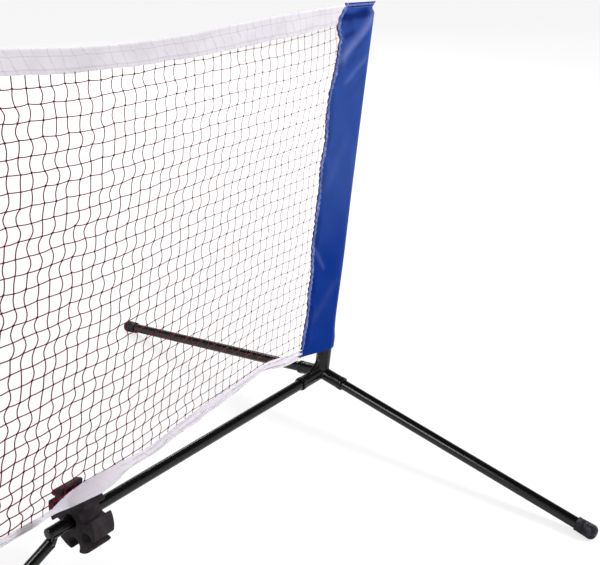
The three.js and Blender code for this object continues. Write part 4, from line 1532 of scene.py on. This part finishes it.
LEAN_OVER = [  # x, how far the low tape's lower edge comes forward over the clip's arm
    (-880, 0), (-800, 3), (-772, 10), (-745, 33), (-725, 39), (-680, 40), (-650, 28),
    (-600, 9), (-540, 3), (-400, 0),
]
SIGHT = 0.9  # a point this much higher for each millimetre forward hides the same spot
TAPE_ROUND = 24
TUCK = 5  # how far tapes and strands reach into the binding

# %% One section of a tape
def column_number(x, z_share):
    """Which column of twine lies under a point of the tape."""
    numbers = range(FIRST_COLUMN + 1, LAST_COLUMN + 1)
    best = min(numbers, key=lambda n: abs(column_x(n, z_share) - x))
    here = column_x(best, z_share)
    side = 1 if x < here else -1
    return best + side * abs(x - here) / max(1e-6, abs(column_x(best + side, z_share) - here))


def tape_row(x_at, upper_table, lower_table, seed, gathers):
    """One section of the folded ribbon: up its front, over the fold and down its back."""
    shake = random.Random(seed)
    phases = [shake.uniform(0, 6.28) for _ in range(6)]
    row, levels, wear_and_painted_shade = [], [], []
    for k in range(TAPE_ROUND + 1):
        turn = k / TAPE_ROUND
        share = (1 - math.cos(2 * math.pi * (turn - 0.5))) / 2
        side = -1 if turn < 0.5 else 1
        x = x_at(share)
        high, low = smooth_line(upper_table, x), smooth_line(lower_table, x)
        spare = max(0.0, TAPE_CUT / max(high - low, 4) - 1) if gathers else 0.0
        z = high + (low - high) * share
        thick = TAPE_HALF + FOLD_BEAD * math.exp(-((share / 0.1) ** 2))
        thick += EDGE_BEAD * math.exp(-(((share - 0.86) / 0.1) ** 2))
        thick *= min(1.0, 4 * math.sqrt(share))
        wave = 0.8 * math.sin(x / 34 + phases[0]) + 0.5 * math.sin(x / 15 + share * 3 + phases[1])
        y = side * thick + wave * (0.25 + share)
        ripple = 0.5 * math.sin(x / 21 + phases[4]) + 0.3 * math.sin(x / 9 + phases[5])
        z += ripple * (0.4 + 0.6 * share)
        taken = 0.0
        if gathers:
            over = smooth_line(LEAN_OVER, x)
            taken = min(1.0, over / 30)
            folds = GATHER_DEPTH * min(1.0, spare * 1.4)
            folds *= math.sin(share * 12.5 + x / 60 + phases[3])
            y += folds * min(1.0, 0.25 + share * 3) * (1 - taken)
            forward = over * share ** 0.9 + 4 * taken
            y -= forward
            z += SIGHT * forward + BULGE_OVER * taken * math.sin(math.pi * share)
        here = Vector((x, y, z))
        if gathers:
            middle = Vector((x, y - side * thick, z))
            here += over_clip(*middle) - middle
        row.append(from_hub(*here))
        levels.append(share)
        # taken also sets the painted shade where the tape leans over the clip
        wear_and_painted_shade.append(taken)
    return row, levels, wear_and_painted_shade


# %% Make the tapes
def make_tape(name, upper_table, lower_table, seed, gathers, t):
    """A tape from the seam to the net's end; t is where on the columns it is sewn."""
    # the low tape's lower edge meets the seam further out than the hub
    start_high = seam_x(smooth_line(upper_table, 0)) + TUCK
    start_low = seam_x(smooth_line(lower_table, -80 if gathers else 0)) + TUCK
    count = int((NET_END + start_high) / TAPE_STEP)
    rows, levels, columns, wear_and_painted_shade = [], [], [], []
    for r in range(count + 1):
        share = r / count

        def x_at(s):
            return (start_high + (start_low - start_high) * s) * (1 - share) - NET_END * share

        row, level, lean_shade = tape_row(x_at, upper_table, lower_table, seed, gathers)
        rows.append(row)
        levels.append(level)
        wear_and_painted_shade.append(lean_shade)
        middle = column_number(x_at(0.5), t)
        columns.append([middle] * (TAPE_ROUND + 1))
    masks = {"level": levels, "column": columns, "wear_and_painted_shade": wear_and_painted_shade}
    return sheet_from(name, rows, TAPE_WALL, masks)


# %% Hang the tapes
top_tape = make_tape("white_top_band", TOP_UPPER, TOP_LOWER, 3, False, 0.0)
dress(top_tape, tape_cloth, "net", "white_tape", "top_tape")
low_tape = make_tape("white_bottom_band", LOW_UPPER, LOW_LOWER, 5, True, 1.0)
dress(low_tape, tape_cloth, "net", "white_tape", "bottom_tape")

# %% Sew the top tape
TAPE_SEWN, TAPE_PITCH, TAPE_STITCH = 0.76, 4.2, 2.604  # share of the width, pitch, length
TOP_THREAD, TOP_THREAD_OUT = 0.5, 1.55


def on_top_tape(x, side):
    """A point on the line of sewing of the top tape."""
    high, low = smooth_line(TOP_UPPER, x), smooth_line(TOP_LOWER, x)
    return from_hub(x, side * TOP_THREAD_OUT, high + (low - high) * TAPE_SEWN)


stitched = []
x = -NET_END + 4
last = seam_x(smooth_line(TOP_LOWER, 0)) - 1
while x < last - TAPE_PITCH:
    for side in (-1, 1):
        ends = [on_top_tape(place, side) for place in (x, x + TAPE_STITCH)]
        stitched.append((*ends, ACROSS_NET * side))
    x += TAPE_PITCH
top_stitches = sew("top_band_stitches", stitched, TOP_THREAD)
dress(top_stitches, white_thread, "net", "white_tape")

# %% [markdown]
# ## The net
# A real net of this size has about a thousand meshes of braided twine. Each strand is a thin
# five-sided cord through its knots, bowed a little between them, as slack twine is. Rows,
# columns and knots are three pieces, so that each stays small.

# %% Strands
TWINE_NEAR, TWINE_FAR = 0.36, 1.12  # radius of the twine, finest beside the post
CORD_SIDES = 5


def twine_radius(x):
    """Radius of the twine in metres."""
    share = clamp((hub_middle.x - x) / (NET_END * MM))
    return (TWINE_NEAR + (TWINE_FAR - TWINE_NEAR) * share ** 1.3) * MM


def cord_mesh(lines, sides=CORD_SIDES):
    """Five-sided cords along lines of points, with a place round and along them."""
    points, faces, coords = [], [], []
    for line in lines:
        base = len(points)
        for k, (here, length) in enumerate(zip(line, lengths_along(line))):
            back, ahead = line[max(0, k - 1)], line[min(len(line) - 1, k + 1)]
            other = (ahead - back).normalized().cross(ACROSS_NET).normalized()
            for s in range(sides):
                a = 2 * math.pi * s / sides
                round_it = ACROSS_NET * math.cos(a) + other * math.sin(a)
                points.append(here + round_it * twine_radius(here.x))
                coords.append((s / sides, length))
        for k in range(len(line) - 1):
            for s in range(sides):
                a, b = base + k * sides + s, base + k * sides + (s + 1) % sides
                faces.append((a, a + sides, b + sides, b))
        faces.append(tuple(base + s for s in range(sides)))
        end = base + (len(line) - 1) * sides
        faces.append(tuple(end + s for s in reversed(range(sides))))
    return points, faces, coords


def mark_painted_light(mesh):
    """The twine is painted palest beside the post, as painted light."""
    painted_light = mesh.attributes.new("painted_light", "FLOAT", "POINT")
    for vertex, mark in zip(mesh.vertices, painted_light.data):
        share = (hub_middle.x - vertex.co.x) / (NET_END * MM)
        mark.value = max(0.0, 1 - share / 0.7)


# %% Cords
def make_cords(name, lines):
    """All the cords of one kind as a piece, with the braid's UV map."""
    points, faces, coords = cord_mesh(lines)
    piece = new_piece(name, points, faces)
    mesh = piece.data
    layer = mesh.uv_layers.new(name="cut")
    for polygon in mesh.polygons:
        wraps = max(coords[v][0] for v in polygon.vertices) > 0.7
        for loop, vertex in zip(polygon.loop_indices, polygon.vertices):
            around, along = coords[vertex]
            layer.data[loop].uv = (around + 1 if wraps and around < 0.1 else around, along)
    mark_painted_light(mesh)
    clean_up(piece, 0.0001)
    shade(piece, 80)
    return piece


# %% Lines of the net
def inside_net(point):
    """Between the far end of the net and the binding."""
    return -NET_END <= point.x <= seam_x(point.z) + TUCK


def bowed(start, end, steps, bow):
    """Points from start to end, bowed sideways in the plane of the net."""
    line = []
    side = Vector((end.z - start.z, 0, start.x - end.x)).normalized()
    for k in range(steps):
        t = k / steps
        line.append(start.lerp(end, t) + side * bow * math.sin(math.pi * t))
    return line


def clipped(line):
    """Keep the stretch of a strand that lies inside the net, cut exactly at its edges."""
    runs, run = [], []
    for k, point in enumerate(line):
        inside = inside_net(point)
        if k and inside != inside_net(line[k - 1]):
            low, high = line[k - 1], point
            for _ in range(14):
                middle = (low + high) / 2
                if inside_net(middle) == inside_net(line[k - 1]):
                    low = middle
                else:
                    high = middle
            run.append((low + high) / 2)
            if not inside:
                runs.append(run)
                run = []
        if inside:
            run.append(point)
    runs.append(run)
    return [[from_hub(*over_clip(*point)) for point in run] for run in runs if len(run) > 1]


def column_line(number):
    """A column from inside the top tape to inside the low one, swaying on its way."""
    nodes = [knot_at(number, row) for row in range(NET_ROWS + 1)]
    first, last = nodes[0], nodes[-1]
    into_top = Vector((first.x, 0, smooth_line(TOP_LOWER, first.x) + 2))
    into_low = Vector((last.x - 1.5, 0, smooth_line(LOW_UPPER, last.x) - 2.5))
    nodes = [into_top] + nodes + [into_low]
    line = []
    for row in range(len(nodes) - 1):
        sway = random.Random(number * 31 + row * 7)
        loose = 1 + min(1.0, -nodes[row].x / NET_END)
        drift = math.sin(row * 2.6 + math.sin(number * 0.45) * 1.3 + sway.uniform(-0.7, 0.7))
        bow = 2.7 * loose * drift
        if row == 0 or row == len(nodes) - 2:
            bow = 0.3
        line += bowed(nodes[row], nodes[row + 1], 4, bow)
    return line + [nodes[-1]]


def row_line(row):
    """A row through all its knots, sagging a little between them."""
    line = []
    for number in range(FIRST_COLUMN, LAST_COLUMN):
        sway = random.Random(number * 17 + row * 53)
        start, end = knot_at(number, row), knot_at(number + 1, row)
        line += bowed(start, end, 3, -sway.uniform(0.2, 1.1))
    return line + [knot_at(LAST_COLUMN, row)]


# %% Knot the strands into a net
columns = [run for n in range(FIRST_COLUMN, LAST_COLUMN + 1) for run in clipped(column_line(n))]
rows = [run for row in range(NET_ROWS + 1) for run in clipped(row_line(row))]
net_columns = make_cords("net_columns", columns)
dress(net_columns, maroon_twine, "net", "maroon_cord", "net_mesh")
net_rows = make_cords("net_rows", rows)
dress(net_rows, maroon_twine, "net", "maroon_cord")

# %% [markdown]
# ## Knots
# Where strands cross, each mesh is tied with a small hard knot, which looks darker than the
# twine. One lumpy knot is modelled from a low sphere and its points are copied to each
# crossing with a turn and a size of its own.

# %% Tie the knots
KNOT_RADIUS = 1.7
KNOT_LAY = 40  # turns of the twine's pattern in a metre of knot


def knot_form():
    """Points and faces of one knot: a squeezed low sphere."""
    start_clean()
    bpy.ops.mesh.primitive_uv_sphere_add(segments=7, ring_count=5, radius=KNOT_RADIUS * MM)
    knot = bpy.context.object
    edit_all(knot)
    bpy.ops.transform.resize(value=(1.15, 0.82, 0.95))
    bpy.ops.object.mode_set(mode="OBJECT")
    points = [vertex.co.copy() for vertex in knot.data.vertices]
    faces = [tuple(polygon.vertices) for polygon in knot.data.polygons]
    bpy.data.objects.remove(knot)
    return points, faces


# %% A knot at every crossing
form, form_faces = knot_form()
knot_points, knot_faces = [], []
for number in range(FIRST_COLUMN, LAST_COLUMN + 1):
    for row in range(NET_ROWS + 1):
        place = knot_at(number, row)
        if not (-NET_END + 2 <= place.x <= seam_x(place.z) - 1):
            continue
        chance = random.Random(number * 11 + row * 3)
        turn = Matrix.Rotation(chance.uniform(0, 3.1), 3, "Y")
        size = chance.uniform(0.85, 1.1) * (0.85 + 0.3 * min(1.0, -place.x / NET_END))
        base = len(knot_points)
        tied = from_hub(*over_clip(*place))
        knot_points += [tied + turn @ (point * size) for point in form]
        knot_faces += [tuple(base + k for k in face) for face in form_faces]
net_knots = new_piece("net_knots", knot_points, knot_faces)
knot_uv = net_knots.data.uv_layers.new(name="cut")
for polygon in net_knots.data.polygons:
    for loop, vertex in zip(polygon.loop_indices, polygon.vertices):
        point = net_knots.data.vertices[vertex].co
        knot_uv.data[loop].uv = (point.x * KNOT_LAY, point.z)
mark_painted_light(net_knots.data)
shade(net_knots, 80)
dress(net_knots, knot_twine, "net", "maroon_cord")
print("knots:", len(knot_points) // len(form))

flat_cut(hem_rows)
flat_cut(binding_rows)

# %% [markdown]
# ## Studio
# The picture is a catalogue photograph: a white sweep in an even white room, a soft key lamp
# to the camera's right and a weaker one behind. The floor and the room look white to the
# camera while they throw little light, so the colours stay true, and the ceiling is dark in
# reflections only, so the black tubes stay black.

# %% Floor
FLOOR_HALF, FLOOR_DROP = 40, 0.0006
FLOOR_PAINT, FLOOR_BOUNCE = (0.86, 0.86, 0.86), (0.22, 0.22, 0.22)
FLOOR_GLOW, GLOW_STRENGTH = 0.7, 1.08

start_clean()
bpy.ops.mesh.primitive_plane_add(size=2 * FLOOR_HALF, location=(0, 0, -FLOOR_DROP))
floor = bpy.context.object
floor.name = "studio_floor"
bpy.ops.object.transform_apply(location=True)
floor_finish = Finish("studio floor", 0.9, Specular_IOR_Level=0.1)
rays = floor_finish.node("ShaderNodeLightPath", {}, {}).outputs
lighting = Field(floor_finish, rays["Is Diffuse Ray"])
pictured = Field(floor_finish, rays["Is Camera Ray"])
floor_finish.set("Base Color", floor_finish.blend(lighting, FLOOR_PAINT, FLOOR_BOUNCE))
glow = floor_finish.node(
    "ShaderNodeEmission", {}, {"Color": (1, 1, 1), "Strength": GLOW_STRENGTH}
)
shown = floor_finish.node(
    "ShaderNodeMixShader", {},
    {0: pictured * FLOOR_GLOW, 1: floor_finish.shader.outputs[0], 2: glow.outputs[0]},
)
output = floor_finish.tree.nodes["Material Output"]
floor_finish.tree.links.new(shown.outputs[0], output.inputs["Surface"])
floor.data.materials.append(floor_finish.material)
print("floor", 2 * FLOOR_HALF, "m wide")

# %% White room
ROOM_LIGHT = 0.24  # strength of the room's light; the camera sees it at 1
DARK_CEILING = 0.05  # strength of the ceiling in reflections
CEILING_FROM, CEILING_FULL = math.radians(14), math.radians(36)

world = bpy.data.worlds.new("white room")
bpy.context.scene.world = world
world.use_nodes = True
room = Nodes(world.node_tree)
rays = room.node("ShaderNodeLightPath", {}, {}).outputs
reflected = Field(room, rays["Is Glossy Ray"])
pictured = Field(room, rays["Is Camera Ray"]).largest(reflected, rays["Is Transmission Ray"])
way = room.node("ShaderNodeTexCoord", {}, {}).outputs["Generated"]
height = Field(room, room.node("ShaderNodeSeparateXYZ", {}, {"Vector": way}).outputs["Z"])
overhead = height.between(math.sin(CEILING_FROM), math.sin(CEILING_FULL))
strength = ROOM_LIGHT + pictured * (1 - ROOM_LIGHT)
strength = strength * (1 - reflected * overhead * (1 - DARK_CEILING))
background = world.node_tree.nodes["Background"]
room.feed(background.inputs["Strength"], strength)
room.feed(background.inputs["Color"], (1, 1, 1))
print("room of", len(world.node_tree.nodes), "nodes")

# %% Lamps
def new_lamp(name, kind):
    """A lamp of one kind, linked to the scene."""
    lamp = bpy.data.objects.new(name, bpy.data.lights.new(name, kind))
    bpy.context.collection.objects.link(lamp)
    return lamp


def area_lamp(name, direction, distance, size, power):
    """A round softbox that lights the cloth but shows in no reflection."""
    lamp = new_lamp(name, "AREA")
    lamp.data.shape = "DISK"
    lamp.data.size = size
    lamp.data.energy = power
    direction = Vector(direction).normalized()
    lamp.location = hub_middle + direction * distance
    lamp.rotation_euler = direction.to_track_quat("Z", "Y").to_euler()
    lamp.visible_camera = False
    lamp.visible_glossy = False
    print(name, power, "W")


CEILING_LIGHT, CEILING_SPREAD = 1.15, math.radians(70)
area_lamp("key lamp", (0.36, -0.76, 0.56), distance=4.6, size=1.2, power=176)
area_lamp("back fill", (0.45, 0.78, 0.42), distance=4.6, size=1.8, power=105)
ceiling = new_lamp("even ceiling light", "SUN")
ceiling.data.energy = CEILING_LIGHT
ceiling.data.angle = CEILING_SPREAD
ceiling.visible_glossy = False

# %% [markdown]
# ## Strip lights
# The thin bright line along each black tube is the mirror image of a long narrow softbox. A
# ray from the camera is mirrored at the tube to find where such a box has to hang. The boxes
# are seen in reflections only, so the colours of the cloth stay as they are. The turn about
# a tube says which side of it shines. The legs point opposite ways, so a positive turn goes
# down on the front one and up on the rear one.

# %% Strip lights
def mirrored(point, way, turn_about):
    """Where the camera's ray goes from a tube's face, turned about it from the nearest."""
    sight = (EYE - point).normalized()
    flat = (sight - way * sight.dot(way)).normalized()
    face = Matrix.Rotation(turn_about, 3, way) @ flat
    return face * (2 * face.dot(sight)) - sight


def strip_light(name, way, start, end, turn_about, distance, width, radiance):
    """A long box for the highlight on a tube from start to end, in millimetres."""
    points = [hub_middle + way * reach * MM for reach in (start, end)]
    turn = math.radians(turn_about)
    ends = [point + mirrored(point, way, turn) * distance for point in points]
    middle, run = (ends[0] + ends[1]) / 2, ends[1] - ends[0]
    target = hub_middle + way * (start + end) / 2 * MM
    toward = (middle - target).normalized()
    side = (run - toward * run.dot(toward)).normalized()
    lamp = new_lamp(name, "AREA")
    lamp.data.shape = "RECTANGLE"
    lamp.data.size, lamp.data.size_y = run.length, width
    lamp.data.energy = radiance * math.pi * lamp.data.size * width
    stand = Matrix((side, toward.cross(side), toward)).transposed()
    lamp.matrix_world = Matrix.Translation(middle) @ stand.to_4x4()
    lamp.visible_diffuse = False
    lamp.visible_camera = False
    print(name, "at", [round(value, 2) for value in middle], "length", round(run.length, 2))


strip_light(
    "strip for the front leg", front_way, start=40, end=380, turn_about=1, distance=2.0,
    width=0.62, radiance=16,
)
strip_light(
    "strip for the rear leg", rear_way, start=20, end=180, turn_about=46, distance=2.0,
    width=0.34, radiance=12,
)

# %% [markdown]
# ## Camera
# The photograph looks down on the post by 24 degrees from the front left. Its place and lens
# were worked out from the straight tubes, the level tape and the size of the meshes.

# %% Camera
YAW, PITCH, ROLL = 0.8870777, 0.4198005, -0.0170107  # radians
SENSOR, LENS = 36, 57.485  # millimetres
level_way = Vector((math.sin(YAW), math.cos(YAW), 0))
forward = level_way * math.cos(PITCH) - UP * math.sin(PITCH)
right = Vector((math.cos(YAW), -math.sin(YAW), 0))
down = forward.cross(right)
right_rolled = right * math.cos(ROLL) + down * math.sin(ROLL)
down_rolled = down * math.cos(ROLL) - right * math.sin(ROLL)
camera_data = bpy.data.cameras.new("photo camera")
camera_data.sensor_width = SENSOR
camera_data.lens = LENS
camera_data.clip_end = 200
camera = bpy.data.objects.new("photo camera", camera_data)
bpy.context.collection.objects.link(camera)
turn = Matrix((right_rolled, -down_rolled, -forward)).transposed()
camera.matrix_world = Matrix.Translation(EYE) @ turn.to_4x4()
bpy.context.scene.camera = camera
bpy.context.scene.view_settings.view_transform = "Standard"
print("camera at", [round(value, 3) for value in EYE], "with a lens of", LENS, "mm")
